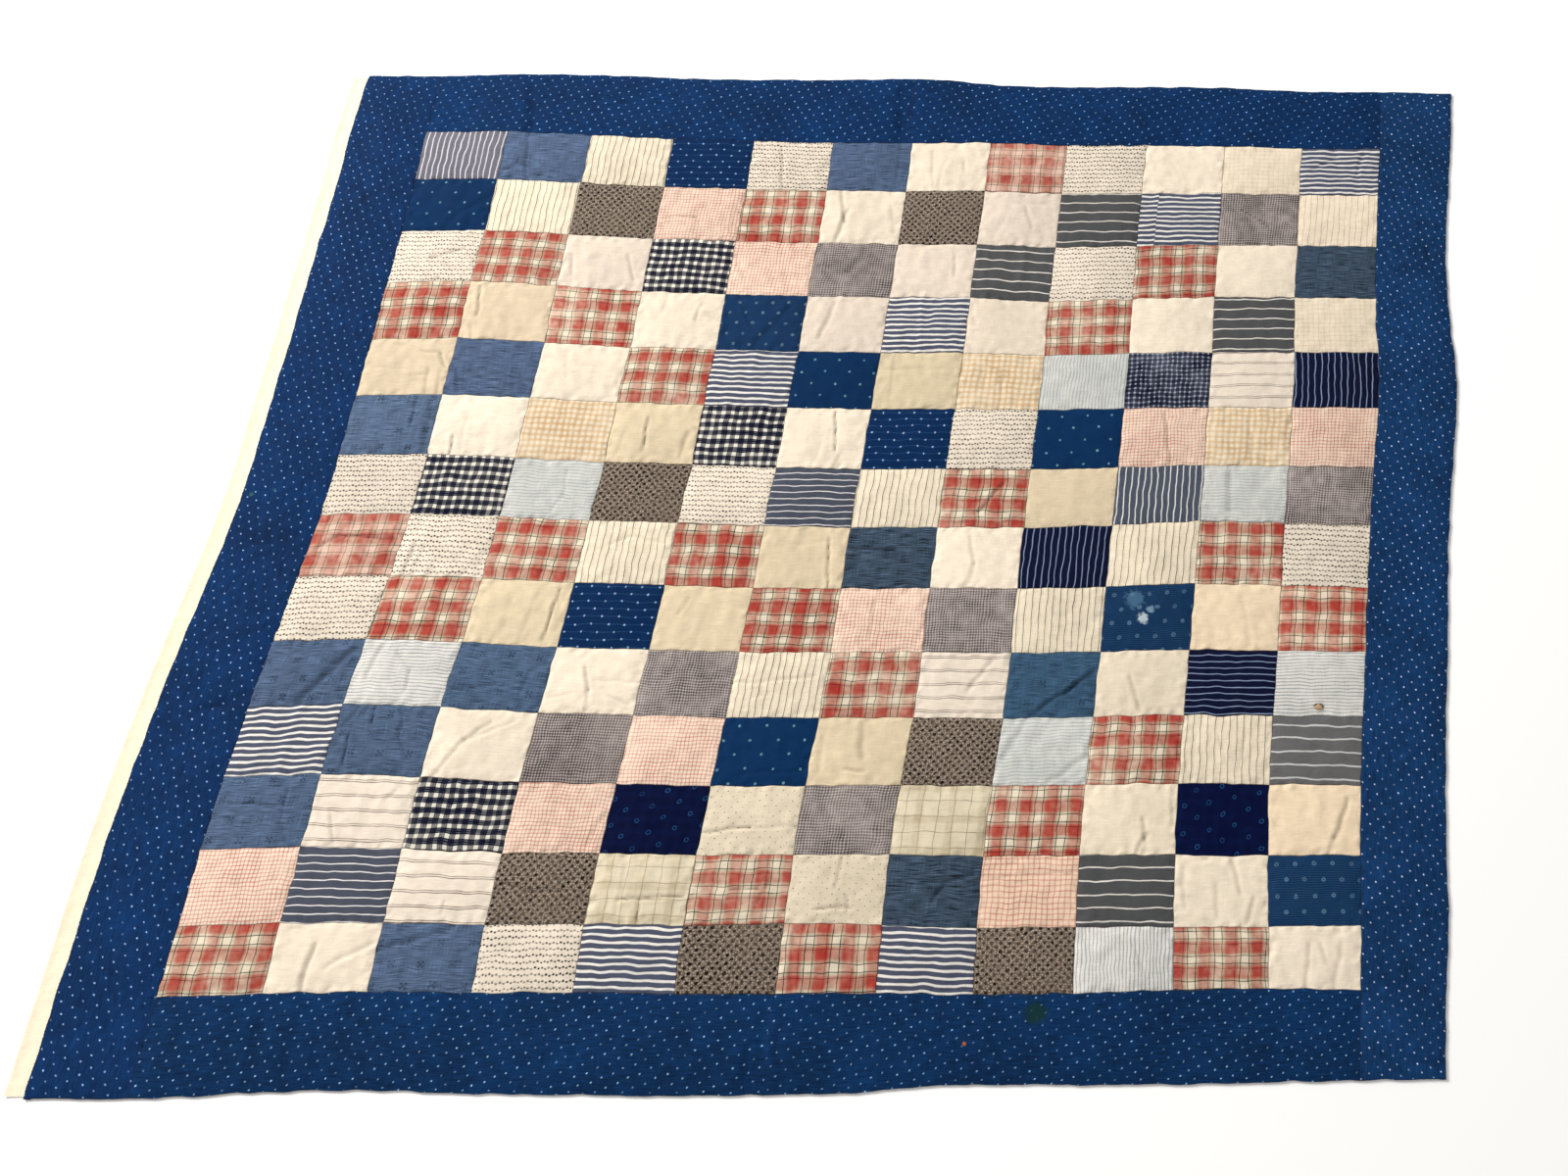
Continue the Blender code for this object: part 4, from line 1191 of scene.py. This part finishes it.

# %% [markdown]
# The small folds that stand out in a patch are listed one by one. Each is a soft trough from one place to
# another, a few millimetres wide, with the cloth pushed up a little beside it. A fold of negative depth is
# a ridge. A patch with folds gets a closer grid, so that they stay smooth.

# %% Folds of the patches
FOLDS = {
    # row, column: start and end of each fold in hundredths of the patch, half width and depth in mm
    (1, 2): [(24, 0, 33, 95, 5, 1.2), (5, 90, 25, 55, 6, 0.8)],
    (1, 3): [(5, 62, 65, 90, 4, 0.6)],
    (1, 5): [(37, 15, 44, 95, 4, 1.2)],
    (1, 6): [(86, 0, 86, 100, 4, 1.0), (25, 80, 50, 60, 8, 0.6)],
    (1, 7): [(28, 20, 33, 95, 5, 0.8), (47, 40, 38, 95, 5, 0.7), (68, 40, 71, 60, 4, 1.0)],
    (1, 10): [(36, 40, 50, 75, 7, 0.6)],
    (1, 12): [(15, 45, 45, 20, 6, 1.3), (72, 60, 80, 10, 6, 1.3)],
    (2, 1): [(55, 80, 95, 35, 10, 0.9)],
    (2, 4): [(5, 62, 48, 57, 4, 1.4), (90, 50, 95, 90, 5, 0.8)],
    (2, 6): [(18, 5, 30, 60, 5, 1.4), (30, 40, 22, 100, 6, 1.4), (85, 30, 93, 80, 7, 0.8)],
    (2, 8): [(57, 30, 66, 68, 6, 1.0), (40, 22, 85, 20, 6, 0.7), (20, 90, 30, 50, 7, 0.6)],
    (2, 11): [(26, 33, 60, 62, 4, 0.9)],
    (3, 1): [(45, 55, 85, 38, 4, 1.5), (45, 60, 80, 78, 5, 0.7)],
    (3, 2): [(33, 35, 50, 25, 5, 1.0), (60, 15, 80, 15, 5, 0.9)],
    (3, 3): [(10, 40, 15, 80, 5, 1.2), (76, 35, 88, 80, 5, 1.2)],
    (3, 5): [(65, 62, 98, 62, 4, 1.0), (5, 30, 20, 75, 8, 0.7)],
    (3, 6): [(65, 0, 42, 60, 10, 1.1), (30, 55, 80, 60, 4, 0.8)],
    (3, 7): [(73, 20, 77, 60, 4, 1.1)],
    (3, 8): [(62, 0, 60, 70, 12, -1.1), (15, 10, 15, 60, 9, -0.8)],
    (4, 1): [(12, 20, 27, 15, 4, 1.0), (65, 35, 70, 90, 5, 0.8)],
    (4, 2): [(14, 10, 17, 60, 5, 1.5), (12, 75, 14, 100, 5, 1.0)],
    (4, 4): [(75, 20, 70, 50, 4, 1.1), (32, 10, 30, 35, 5, 0.7), (55, 90, 95, 45, 4, 0.5)],
    (4, 5): [(20, 15, 38, 60, 5, 0.9), (80, 20, 45, 95, 9, 1.1)],
    (4, 6): [(35, 10, 22, 75, 6, 1.2)],
    (4, 7): [(42, 0, 45, 100, 8, -0.9)],
    (4, 8): [(5, 10, 10, 50, 6, 0.9), (55, 30, 62, 60, 5, 0.5)],
    (5, 1): [(62, 22, 85, 28, 5, 1.2), (85, 28, 95, 52, 5, 1.4), (58, 66, 75, 66, 4, 1.2)]
    + [(76, 55, 79, 95, 4, 1.0), (90, 55, 93, 95, 4, 0.9), (10, 52, 55, 54, 6, 0.6)],
    (5, 2): [(8, 55, 15, 95, 4, 1.2), (20, 65, 40, 52, 6, 0.9), (75, 60, 80, 90, 5, 0.8)],
    (5, 3): [(30, 10, 35, 60, 7, 0.7), (45, 38, 68, 40, 7, 0.8)],
    (5, 5): [(50, 0, 50, 40, 10, -1.0)],
    (5, 7): [(10, 30, 80, 30, 6, 0.8), (18, 0, 20, 100, 4, 0.7)],
    (5, 8): [(50, 30, 52, 70, 4, 1.1)],
    (5, 10): [(20, 10, 55, 95, 5, 1.3)],
    (5, 12): [(42, 20, 50, 80, 6, 1.2), (75, 10, 70, 90, 6, 1.1)],
    (6, 1): [(72, 0, 72, 55, 4, 1.4), (90, 10, 95, 90, 8, 1.2), (40, 80, 42, 100, 4, 0.8)],
    (6, 2): [(26, 68, 24, 100, 4, 1.5), (35, 40, 38, 95, 5, 0.7)],
    (6, 4): [(41, 25, 42, 80, 4, 1.5), (90, 50, 85, 90, 5, 1.0), (17, 50, 10, 95, 6, 0.8)],
    (6, 6): [(59, 5, 67, 70, 4, 1.5), (42, 95, 50, 60, 6, 0.8), (72, 80, 68, 100, 4, 1.0)],
    (6, 10): [(50, 10, 60, 95, 5, 1.2)],
    (6, 11): [(50, 20, 55, 90, 6, 1.0)],
    (7, 3): [(60, 15, 65, 60, 4, 1.0), (62, 60, 55, 90, 4, 1.0), (65, 60, 95, 85, 4, 0.8)],
    (7, 8): [(70, 26, 44, 72, 4, 1.7)],
    (7, 11): [(30, 0, 33, 80, 9, 1.2), (10, 80, 100, 78, 4, 0.9)],
    (7, 12): [(10, 78, 100, 78, 6, 1.0)],
    (8, 1): [(8, 58, 25, 38, 5, 1.4), (25, 36, 95, 42, 5, 1.6)],
    (8, 2): [(17, 45, 15, 100, 6, 1.3), (28, 55, 25, 85, 5, 0.8)],
    (8, 3): [(97, 30, 60, 88, 4, 1.1)],
    (8, 4): [(30, 40, 50, 25, 4, 1.0), (50, 25, 92, 35, 4, 0.9)],
    (8, 6): [(78, 20, 85, 100, 4, 1.5), (45, 30, 75, 25, 6, 0.7)],
    (8, 7): [(5, 36, 56, 38, 4, 1.8)],
    (8, 8): [(40, 15, 48, 60, 6, 1.1), (48, 60, 42, 100, 6, 1.0)],
    (8, 11): [(35, 0, 35, 100, 11, -0.9)],
    (9, 2): [(12, 10, 20, 50, 5, 1.1)],
    (9, 3): [(88, 10, 82, 90, 4, 1.4), (65, 20, 60, 90, 6, 0.7), (38, 30, 38, 80, 8, 0.6)],
    (9, 5): [(22, 45, 32, 20, 5, 1.0), (55, 30, 50, 80, 7, 0.5)],
    (9, 7): [(42, 20, 40, 80, 5, 0.9)],
    (9, 11): [(55, 20, 70, 95, 8, 0.8)],
    (10, 1): [(92, 15, 50, 95, 9, 1.5)],
    (10, 2): [(20, 10, 15, 60, 6, 1.2), (38, 20, 57, 50, 4, 1.0), (57, 50, 58, 80, 4, 1.1)],
    (10, 3): [(5, 72, 50, 62, 5, 1.5), (80, 40, 75, 70, 5, 1.1)],
    (10, 4): [(37, 30, 47, 65, 5, 1.4), (50, 50, 100, 50, 5, 0.9), (5, 80, 30, 70, 4, 0.9)]
    + [(47, 65, 50, 95, 5, 1.0), (70, 75, 95, 85, 5, 1.1)],
    (10, 5): [(5, 48, 95, 40, 4, 1.0)],
    (10, 6): [(0, 50, 90, 38, 4, 1.1), (15, 72, 45, 65, 4, 0.8)],
    (10, 7): [(45, 10, 43, 55, 4, 0.9), (10, 55, 50, 60, 4, 0.8)],
    (10, 8): [(78, 15, 55, 60, 5, 1.1)],
    (10, 9): [(95, 30, 65, 62, 5, 1.6), (78, 50, 30, 95, 5, 1.6)],
    (10, 10): [(36, 40, 52, 95, 6, 1.2)],
    (10, 11): [(20, 0, 20, 100, 10, -0.9), (60, 0, 60, 100, 12, -0.9)],
    (11, 1): [(55, 0, 55, 100, 12, -1.0)],
    (11, 2): [(8, 30, 18, 5, 5, 1.4), (35, 0, 36, 28, 4, 1.6), (16, 45, 20, 90, 4, 1.5)]
    + [(63, 10, 68, 35, 4, 1.3), (65, 35, 80, 75, 4, 1.2)],
    (11, 3): [(55, 18, 33, 45, 5, 1.3), (33, 45, 15, 92, 5, 1.1), (40, 42, 80, 15, 4, 1.1)],
    (11, 6): [(30, 82, 95, 80, 4, 1.2)],
    (11, 7): [(47, 10, 55, 60, 8, 1.2), (40, 78, 60, 80, 4, 1.4), (10, 20, 10, 80, 8, 1.0)],
    (11, 9): [(25, 0, 8, 60, 9, 1.1), (60, 95, 100, 60, 8, 1.1)],
    (11, 10): [(60, 5, 90, 60, 5, 1.0)],
    (11, 11): [(40, 30, 50, 70, 4, 0.9), (70, 30, 66, 80, 4, 0.8)],
    (12, 1): [(15, 38, 70, 42, 4, 1.5), (70, 20, 72, 70, 4, 1.2), (75, 70, 85, 95, 4, 1.1)],
    (12, 2): [(20, 55, 30, 90, 4, 1.3), (80, 20, 70, 35, 4, 1.0)],
    (12, 4): [(97, 35, 85, 90, 6, 1.0), (40, 60, 90, 72, 5, 0.9)],
    (12, 6): [(3, 66, 50, 60, 4, 1.6), (50, 60, 100, 58, 4, 1.0)],
    (12, 10): [(64, 50, 70, 85, 4, 1.2), (70, 70, 60, 100, 5, 1.4)]
    + [(95, 10, 97, 60, 5, 1.1), (10, 35, 35, 60, 6, 0.7)],
    (12, 12): [(87, 20, 72, 75, 6, 1.5), (72, 75, 65, 100, 6, 1.0)],
    (13, 3): [(20, 35, 60, 30, 5, 0.9), (55, 70, 55, 85, 3, 1.0)],
    (13, 4): [(5, 45, 40, 52, 6, 1.3), (35, 55, 75, 53, 5, 1.4)],
    (13, 5): [(30, 65, 95, 60, 4, 1.6), (50, 65, 52, 95, 4, 1.3), (30, 20, 30, 95, 4, 0.9)],
    (13, 6): [(40, 50, 72, 50, 4, 1.4), (80, 35, 68, 80, 4, 1.3)],
    (13, 7): [(50, 5, 48, 50, 4, 1.2), (30, 80, 65, 78, 4, 1.5), (60, 60, 62, 85, 4, 1.0)],
    (13, 8): [(40, 40, 92, 28, 5, 1.5), (62, 40, 50, 65, 5, 1.6), (65, 65, 40, 95, 7, 0.8)],
    (13, 9): [(5, 30, 95, 25, 5, 1.1)],
    (13, 11): [(62, 10, 70, 50, 6, 1.2), (85, 60, 75, 95, 6, 1.3)]
    + [(10, 20, 12, 70, 6, 1.0), (45, 40, 45, 85, 6, 0.9)],
    (14, 2): [(39, 30, 35, 100, 6, 1.5), (55, 65, 95, 28, 6, 1.2)],
    (14, 3): [(0, 40, 70, 5, 8, 1.6)],
    (14, 6): [(10, 60, 45, 60, 5, 0.9)],
    (14, 7): [(10, 20, 15, 90, 5, 1.1)],
    (14, 10): [(60, 30, 70, 70, 6, 1.0)],
    (14, 12): [(45, 30, 40, 100, 6, 1.1), (55, 30, 62, 60, 6, 1.0), (80, 30, 70, 100, 7, 1.0)],
}
FOLD_REACH = 0.00056  # metres for a millimetre of the table: the dark line of a fold is all of it
FOLD_DEPTH = 0.00105
FOLD_POWER = 0.7  # sets the deep folds further apart from the faint ones
print("small folds:", sum(map(len, FOLDS.values())))

# %% [markdown]
# Now every patch is laid in its place. One of them was pieced from two scraps, so it is laid in two parts.

# %% Sew the patches
PIECED = {(2, 10): 0.21}  # a patch made of two scraps: where their seam is
MAP_SPREAD = 0.5
TILT_SPREAD = 1.2  # degrees
TONE_SPREAD = 0.05

draw = np.random.default_rng(168)
patches = []
for row, words in enumerate(CHART, start=1):
    for column, word in enumerate(words.split(), start=1):
        fabric = word.rstrip("|")
        join = PIECED.get((row, column))
        stretches = [(0.0, join, "_strip"), (join, 1.0, "")] if join else [(0.0, 1.0, "")]
        for part_start, part_end, suffix in stretches:
            tone = np.array(TINTS.get((row, column), (1.0, 1.0, 1.0)))
            tone = tone * (1 + draw.uniform(-TONE_SPREAD, TONE_SPREAD))
            left, top = column - 1, row - 1
            folds = []
            for x0, y0, x1, y1, reach, depth in FOLDS.get((row, column), ()):
                line = (left + x0 / 100, top + y0 / 100, left + x1 / 100, top + y1 / 100)
                folds.append((*line, FOLD_REACH * reach, FOLD_DEPTH * depth * abs(depth) ** FOLD_POWER))
            width = COLUMN_WIDTHS[left] * (part_end - part_start)
            height = ROW_HEIGHTS[top]
            step = FOLD_STEP if folds else STEP
            acrosses = between(left + part_start, left + part_end, width, step=step)
            downs = between(top, row, height, step=step)
            patch = lay_sheet(
                f"patch_r{row:02d}_c{column:02d}{suffix}",
                cottons[fabric],
                lay_lines(acrosses),
                lay_lines(downs),
                tone,
                draw.uniform(-MAP_SPREAD, MAP_SPREAD, 2),
                quarter=word.endswith("|"),
                tilt=draw.uniform(-TILT_SPREAD, TILT_SPREAD),
                folds=folds,
                closed=True,
            )
            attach(patch, "root")
            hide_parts("patchwork")
            patches.append(patch)
print("patches:", len(patches), "with", sum(len(patch.data.polygons) for patch in patches), "faces")

# %% [markdown]
# ## The borders
# The two side borders run the whole height of the quilt. The top and the bottom border lie between them,
# and each is joined from two lengths of cloth. On their outer sides they are rolled over into a hem.

# %% Lines of the borders
BORDER_STEP = 0.0075


def run_of_lines(first, last, edges, lengths):
    """Lines along a border, crowding at the patch seams that it passes."""
    stops = sorted({first, last, *(edge for edge in edges if first < edge < last)})
    places = [stops[0]]
    for start, end in zip(stops, stops[1:]):
        length = (end - start) * lengths[min(max(int(start), 0), len(lengths) - 1)]
        places += between(start, end, length, step=BORDER_STEP)[1:]
    return places


seams_down = [float(seam) for seam in range(DOWN + 1)]
seams_across = [float(seam) for seam in range(1, ACROSS)]
whole_height = run_of_lines(-1.0, DOWN + 1.0, seams_down, ROW_HEIGHTS)
left_lines = between(-1.0, 0.0, BORDER_WIDTH, near_first=False, step=BORDER_STEP)
right_lines = between(float(ACROSS), ACROSS + 1.0, BORDER_WIDTH, near_last=False, step=BORDER_STEP)
bottom_lines = between(float(DOWN), DOWN + 1.0, BORDER_WIDTH, near_last=False, step=BORDER_STEP)
BORDERS = {
    # name: across lines, down lines, and whether the left, right, top and bottom side is a rim
    "border_left": (left_lines, whole_height, (True, False, True, True)),
    "border_right": (right_lines, whole_height, (False, True, True, True)),
}
# the top border has the same lines down as the left one has across
for end, seam, lines, rims in (
    ("top", TOP_BORDER_SEAM, left_lines, (False, False, True, False)),
    ("bottom", BOTTOM_BORDER_SEAM, bottom_lines, (False, False, False, True)),
):
    first = run_of_lines(0.0, seam, seams_across, COLUMN_WIDTHS)
    second = run_of_lines(seam, float(ACROSS), seams_across, COLUMN_WIDTHS)
    BORDERS[f"border_{end}_first"] = (first, lines, rims)
    BORDERS[f"border_{end}_second"] = (second, lines, rims)


print("lines down a side border:", len(whole_height))

# %% [markdown]
# The borders have folds of their own, listed one by one in the same way. All four are one cotton, and each
# side multiplies its colour by a tone of its own: lighter on the right, darker on the other three.

# %% Folds and tones of the borders
BORDER_FOLDS = (
    # across, down, to across, to down, half width, depth
    (-0.97, 7.26, -0.81, 7.20, 0.0037, 0.0021),
    (-0.65, 7.50, -0.17, 7.31, 0.0045, 0.0021),
    (-0.50, 10.05, -0.05, 9.85, 0.0053, 0.0018),
    (12.11, 3.57, 12.60, 3.73, 0.0045, 0.0021),
    (12.73, 2.02, 12.73, 2.25, 0.0030, 0.0024),
    (12.55, 6.10, 12.95, 6.22, 0.0045, 0.0018),
    (6.08, 14.14, 6.10, 14.95, 0.0053, 0.0019),
    (5.80, 14.50, 5.80, 14.94, 0.0053, 0.0018),
    (12.44, 14.86, 13.0, 14.76, 0.0045, 0.0021),
    (1.04, 14.30, 1.10, 14.90, 0.0075, 0.0018),
    (1.38, 14.35, 1.42, 14.90, 0.0067, 0.0015),
    (1.10, -0.90, 1.25, -0.05, 0.0060, 0.0019),
    (5.75, -0.90, 5.82, -0.05, 0.0060, 0.0019),
)
BORDER_TONES = {
    # each side's own tone: red, green and blue multiplied
    "left": (0.72, 0.83, 0.90),
    "right": (1.38, 1.16, 1.08),
    "top": (0.65, 0.84, 0.90),
    "bottom": (0.71, 0.84, 0.84),
}
print("border folds:", len(BORDER_FOLDS))

# %% [markdown]
# Each border is laid from its lines. Its flat size is what a maker would cut: the width that shows, the hem
# and the edge that is turned into the seam.

# %% Sew the borders
borders = {}
for name, (acrosses, downs, (left, right, top, bottom)) in BORDERS.items():
    upright = name in ("border_left", "border_right")
    border = lay_sheet(
        name + "_cloth",
        border_cotton,
        lay_lines(acrosses, left, right),
        lay_lines(downs, top, bottom),
        BORDER_TONES[name.split("_")[1]],
        draw.uniform(-MAP_SPREAD, MAP_SPREAD, 2),
        quarter=upright,
        folds=BORDER_FOLDS,
    )
    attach(border, "root")
    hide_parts(name)
    borders[name] = border
print("borders:", {name: len(border.data.polygons) for name, border in borders.items()})

# %% [markdown]
# ## Hand sewing and a burn
# The hem of the border is whipped down by hand: a short stitch of thread wraps the rim every centimetre on
# the left and, in brown thread, more sparsely on the right. Each stitch is a bent four-sided rod, and all
# stitches of one thread are joined to one piece. In one striped patch a spark has burnt a hole, and the
# brown filling stands out of it as a small tuft.

# %% Thread
THREAD_RADIUS = 0.00035
ROD_SIDES = 4
WHIPPED_TO = 0.93  # the stitches stop short of the corners, in widths of the border
ALONG_RIM = 0.05  # how far on the rim's direction is read
STITCH = (
    # inwards from the rim, along the rim and height above the rim's own, in metres
    (0.0042, -0.0009, -0.0006),
    (0.0034, -0.0006, 0.0006),
    (0.0014, 0.0, 0.0007),
    (-0.0001, 0.0004, 0.0001),
    (-0.0004, 0.0006, -0.0009),
    (0.0006, 0.0009, -0.0018),
)


def rod(path, radius, sides=ROD_SIDES):
    """Points and faces of a bent rod with closed ends."""
    path = np.array(path)
    points = []
    for place, middle in enumerate(path):
        run = path[min(place + 1, len(path) - 1)] - path[max(place - 1, 0)]
        side = np.cross(run, (0.31, 0.95, 0.12))
        side /= np.linalg.norm(side)
        other = np.cross(run, side)
        other /= np.linalg.norm(other)
        for step in range(sides):
            angle = math.tau * step / sides
            points.append(middle + radius * (math.cos(angle) * side + math.sin(angle) * other))
    faces = [list(range(sides - 1, -1, -1)), [len(points) - sides + step for step in range(sides)]]
    for place in range(len(path) - 1):
        for step in range(sides):
            here, after = place * sides + step, place * sides + (step + 1) % sides
            faces.append([here, after, after + sides, here + sides])
    return points, faces


def joined(name, shapes, material):
    """One piece from many small closed shapes."""
    points, faces = [], []
    for shape_points, shape_faces in shapes:
        faces += [[len(points) + point for point in face] for face in shape_faces]
        points += [tuple(point) for point in shape_points]
    mesh = bpy.data.meshes.new(name)
    mesh.from_pydata(points, [], faces)
    piece = linked(name, mesh, material)
    piece.data.shade_smooth()
    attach(piece, "root")
    return piece


print("points in one stitch:", len(rod(STITCH, THREAD_RADIUS)[0]))

# %% [markdown]
# A whip stitch comes up a few millimetres inside the rim, slants over it and goes down again. Its reach and
# the step to the next one are drawn from a seed, because hand sewing is uneven.

# %% Whip stitches
def plain_place(across, down):
    """One place on the quilt top as plain numbers."""
    return tuple(map(float, nudged(across, down)))


def top_at(across, down):
    """The height of the cloth at one place."""
    return float(cloth_height(np.array([across]), np.array([down]))[0])


def whip_stitches(rim, spacing, seed):
    """Stitches along the left rim, at -1, or the right one, at ACROSS + 1."""
    draw = np.random.default_rng(seed)
    inward = 1 if rim < 0 else -1
    shapes, down = [], -WHIPPED_TO
    while down < DOWN + WHIPPED_TO:
        x, y = plain_place(rim, down)
        x_after, y_after = plain_place(rim, down + ALONG_RIM)
        length = math.hypot(x_after - x, y_after - y)
        along_x, along_y = (x_after - x) / length, (y_after - y) / length
        jitter = draw.uniform(0.75, 1.25)
        path = [
            (
                x - inward * along_y * inside * jitter + along_x * along,
                y + inward * along_x * inside * jitter + along_y * along,
                RIM_HEIGHT + up,
            )
            for inside, along, up in STITCH
        ]
        shapes.append(rod(path, THREAD_RADIUS))
        down += spacing * draw.uniform(0.75, 1.3) / ROW_HEIGHTS[0]
    return shapes


navy_thread = plain_finish("navy_thread", (0.008, 0.014, 0.04), 0.8)
brown_thread = plain_finish("brown_thread", (0.10, 0.06, 0.04), 0.8)
LEFT_SPACING, RIGHT_SPACING = 0.0095, 0.027
left_stitches = whip_stitches(-1.0, LEFT_SPACING, 31)
right_stitches = whip_stitches(ACROSS + 1.0, RIGHT_SPACING, 32)
joined("left_whip_stitches", left_stitches, navy_thread)
joined("right_whip_stitches", right_stitches, brown_thread)
print("whip stitches:", len(left_stitches), "and", len(right_stitches))

# %% [markdown]
# One patch has a short slanting row of dark mending stitches. Each is a rod through three points: its middle
# stands up a little and its two ends go into the cloth.

# %% Mending stitches
MENDING_ACROSS = (10.27, 10.33, 10.38, 10.44, 10.50, 10.56, 10.61)
MENDING_DOWN = (1.34, 1.38, 1.43, 1.47, 1.53, 1.58, 1.63)
MENDING_REACH = (0.0016, 0.0011)  # half of a stitch, across and along the quilt
MENDING_RISE, MENDING_SINK = 0.0005, 0.0003  # its middle stands up and its ends go in
mending = []
for across, down in zip(MENDING_ACROSS, MENDING_DOWN):
    x, y = plain_place(across, down)
    top = top_at(across, down)
    reach_x, reach_y = MENDING_REACH
    path = [(x + side * reach_x, y + side * reach_y, top - MENDING_SINK) for side in (-1, 1)]
    path.insert(1, (x, y, top + MENDING_RISE))
    mending.append(rod(path, THREAD_RADIUS))
joined("mending_stitches", mending, navy_thread)
print("mending stitches:", len(mending))

# %% [markdown]
# The hole is cut with a ragged prism, as a punch would do it. The filling is a small ball of tufted fibre,
# pressed flat and made uneven, that fills the hole and stands a little proud.

# %% Burn hole
HOLE_ACROSS, HOLE_DOWN = 11.50, 9.87
HOLE_RADII = (0.0056, 0.0042)
HOLE_CORNERS = 18
HOLE_RAGGED = (0.82, 1.15)
PUNCH_LENGTH = 0.02
TUFT_SIZE = (0.0060, 0.0046, 0.0013)
TUFT_SUNK = 0.0004
BROAD_LUMPS, SMALL_LUMPS, FIBRES = 0.16, 0.10, 0.05  # how uneven the tuft is, as shares of its size
hole_x, hole_y = plain_place(HOLE_ACROSS, HOLE_DOWN)
hole_top = top_at(HOLE_ACROSS, HOLE_DOWN)
ragged = np.random.default_rng(41)
bpy.ops.object.select_all(action="DESELECT")
bpy.ops.mesh.primitive_cylinder_add(
    vertices=HOLE_CORNERS, radius=1, depth=PUNCH_LENGTH, location=(hole_x, hole_y, hole_top)
)
punch = bpy.context.object
reaches = ragged.uniform(*HOLE_RAGGED, HOLE_CORNERS)
for place, point in enumerate(punch.data.vertices):
    point.co.x *= HOLE_RADII[0] * reaches[place // 2]
    point.co.y *= HOLE_RADII[1] * reaches[place // 2]
burnt = bpy.data.objects["patch_r10_c12"]
cut = burnt.modifiers.new("burn", "BOOLEAN")
cut.operation = "DIFFERENCE"
cut.object = punch
apply_modifier(burnt, cut)
bpy.data.objects.remove(punch)
print("burnt patch faces:", len(burnt.data.polygons))

# %% [markdown]
# The tuft is a small ball pressed flat. Two waves and a little chance make its surface uneven.

# %% Filling tuft
bpy.ops.object.select_all(action="DESELECT")
bpy.ops.mesh.primitive_ico_sphere_add(subdivisions=4, radius=1, location=(0, 0, 0))
filling = bpy.context.object
filling.name = "filling_tuft"
for point in filling.data.vertices:
    broad_lump = BROAD_LUMPS * math.sin(5 * point.co.x + 3 * point.co.y)
    small_lump = SMALL_LUMPS * math.sin(11 * point.co.y - 7 * point.co.x)
    lump = 1 + broad_lump + small_lump
    lump += ragged.uniform(-FIBRES, FIBRES)
    size_x, size_y, size_z = TUFT_SIZE
    point.co = (
        hole_x + size_x * lump * point.co.x,
        hole_y + size_y * lump * point.co.y,
        hole_top - TUFT_SUNK + size_z * lump * point.co.z,
    )
filling.data.materials.append(plain_finish("brown_filling", (0.42, 0.28, 0.16), 0.95))
filling.data.shade_smooth()
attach(filling, "root")
print("filling shows through a hole", round(2000 * HOLE_RADII[0], 1), "mm wide")

# %% [markdown]
# ## The backing
# One plain cream cloth lies under everything. On the left it reaches 27 mm further than the top does, so
# a strip of it shows. It is laid as its own grid, level under the quilt and with a slight ripple where
# it is free.

# %% Backing
BACKING_HEIGHT = 0.0009
BACKING_RIPPLE = 0.0004
FOLDED_EDGE = 0.0011  # the edge is turned under, so it lies a little higher
FOLDED_REACH = 0.006
BACKING_LINES = (90, 110)  # upright and level
CROWDED_LEFT = 1.6  # brings the upright lines closer together towards the free edge
FREE_PART = 8  # the first eighth of the cloth is drawn out to the left
RIPPLED_PART = 30  # the first thirtieth lies free and ripples
TUCKED_PART = 40  # the last fortieth is drawn in on the right
TUCK_SHARPNESS = 8  # how near to its top and bottom edge the cloth is drawn in
FREE_RIPPLES = waves(21, 12, (0.03, 0.12))
part, down = np.meshgrid(
    np.linspace(0, 1, BACKING_LINES[0]) ** CROWDED_LEFT, np.linspace(-1, DOWN + 1, BACKING_LINES[1])
)
x, y = cloth_place(-1 + (ACROSS + 2) * part, down)
x = x - BACKING_BEYOND_LEFT * np.clip(1 - part * FREE_PART, 0, 1)
x = x - BACKING_TURNED_IN * np.clip(part * TUCKED_PART - (TUCKED_PART - 1), 0, 1)
y = y - BACKING_TURNED_IN * np.clip(0 - down, 0, 1) ** TUCK_SHARPNESS
y = y + BACKING_TURNED_IN * np.clip(down - DOWN, 0, 1) ** TUCK_SHARPNESS
free = np.clip(1 - part * RIPPLED_PART, 0, 1)
z = BACKING_HEIGHT + BACKING_RIPPLE * free * wave_sum(FREE_RIPPLES, x, y)
z = z + FOLDED_EDGE * np.exp(-(((x - x[:, :1]) / FOLDED_REACH) ** 2))
rows, columns = x.shape
points = np.stack((x, y, z), -1).reshape(-1, 3)
faces = grid_faces(rows, columns)
far_from_seam = np.full(x.size, 50.0)
backing = cloth_piece(
    "backing_cloth", muslin, points, faces, points[:, :2], np.ones(3), from_seam=far_from_seam
)
thickened(backing)
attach(backing, "root")
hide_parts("backing")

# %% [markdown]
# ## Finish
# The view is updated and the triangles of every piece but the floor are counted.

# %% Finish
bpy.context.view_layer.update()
pieces = [piece for piece in bpy.context.scene.objects if piece.type == "MESH" and piece is not floor]
print("triangles in all:", sum(len(face.vertices) - 2 for piece in pieces for face in piece.data.polygons))
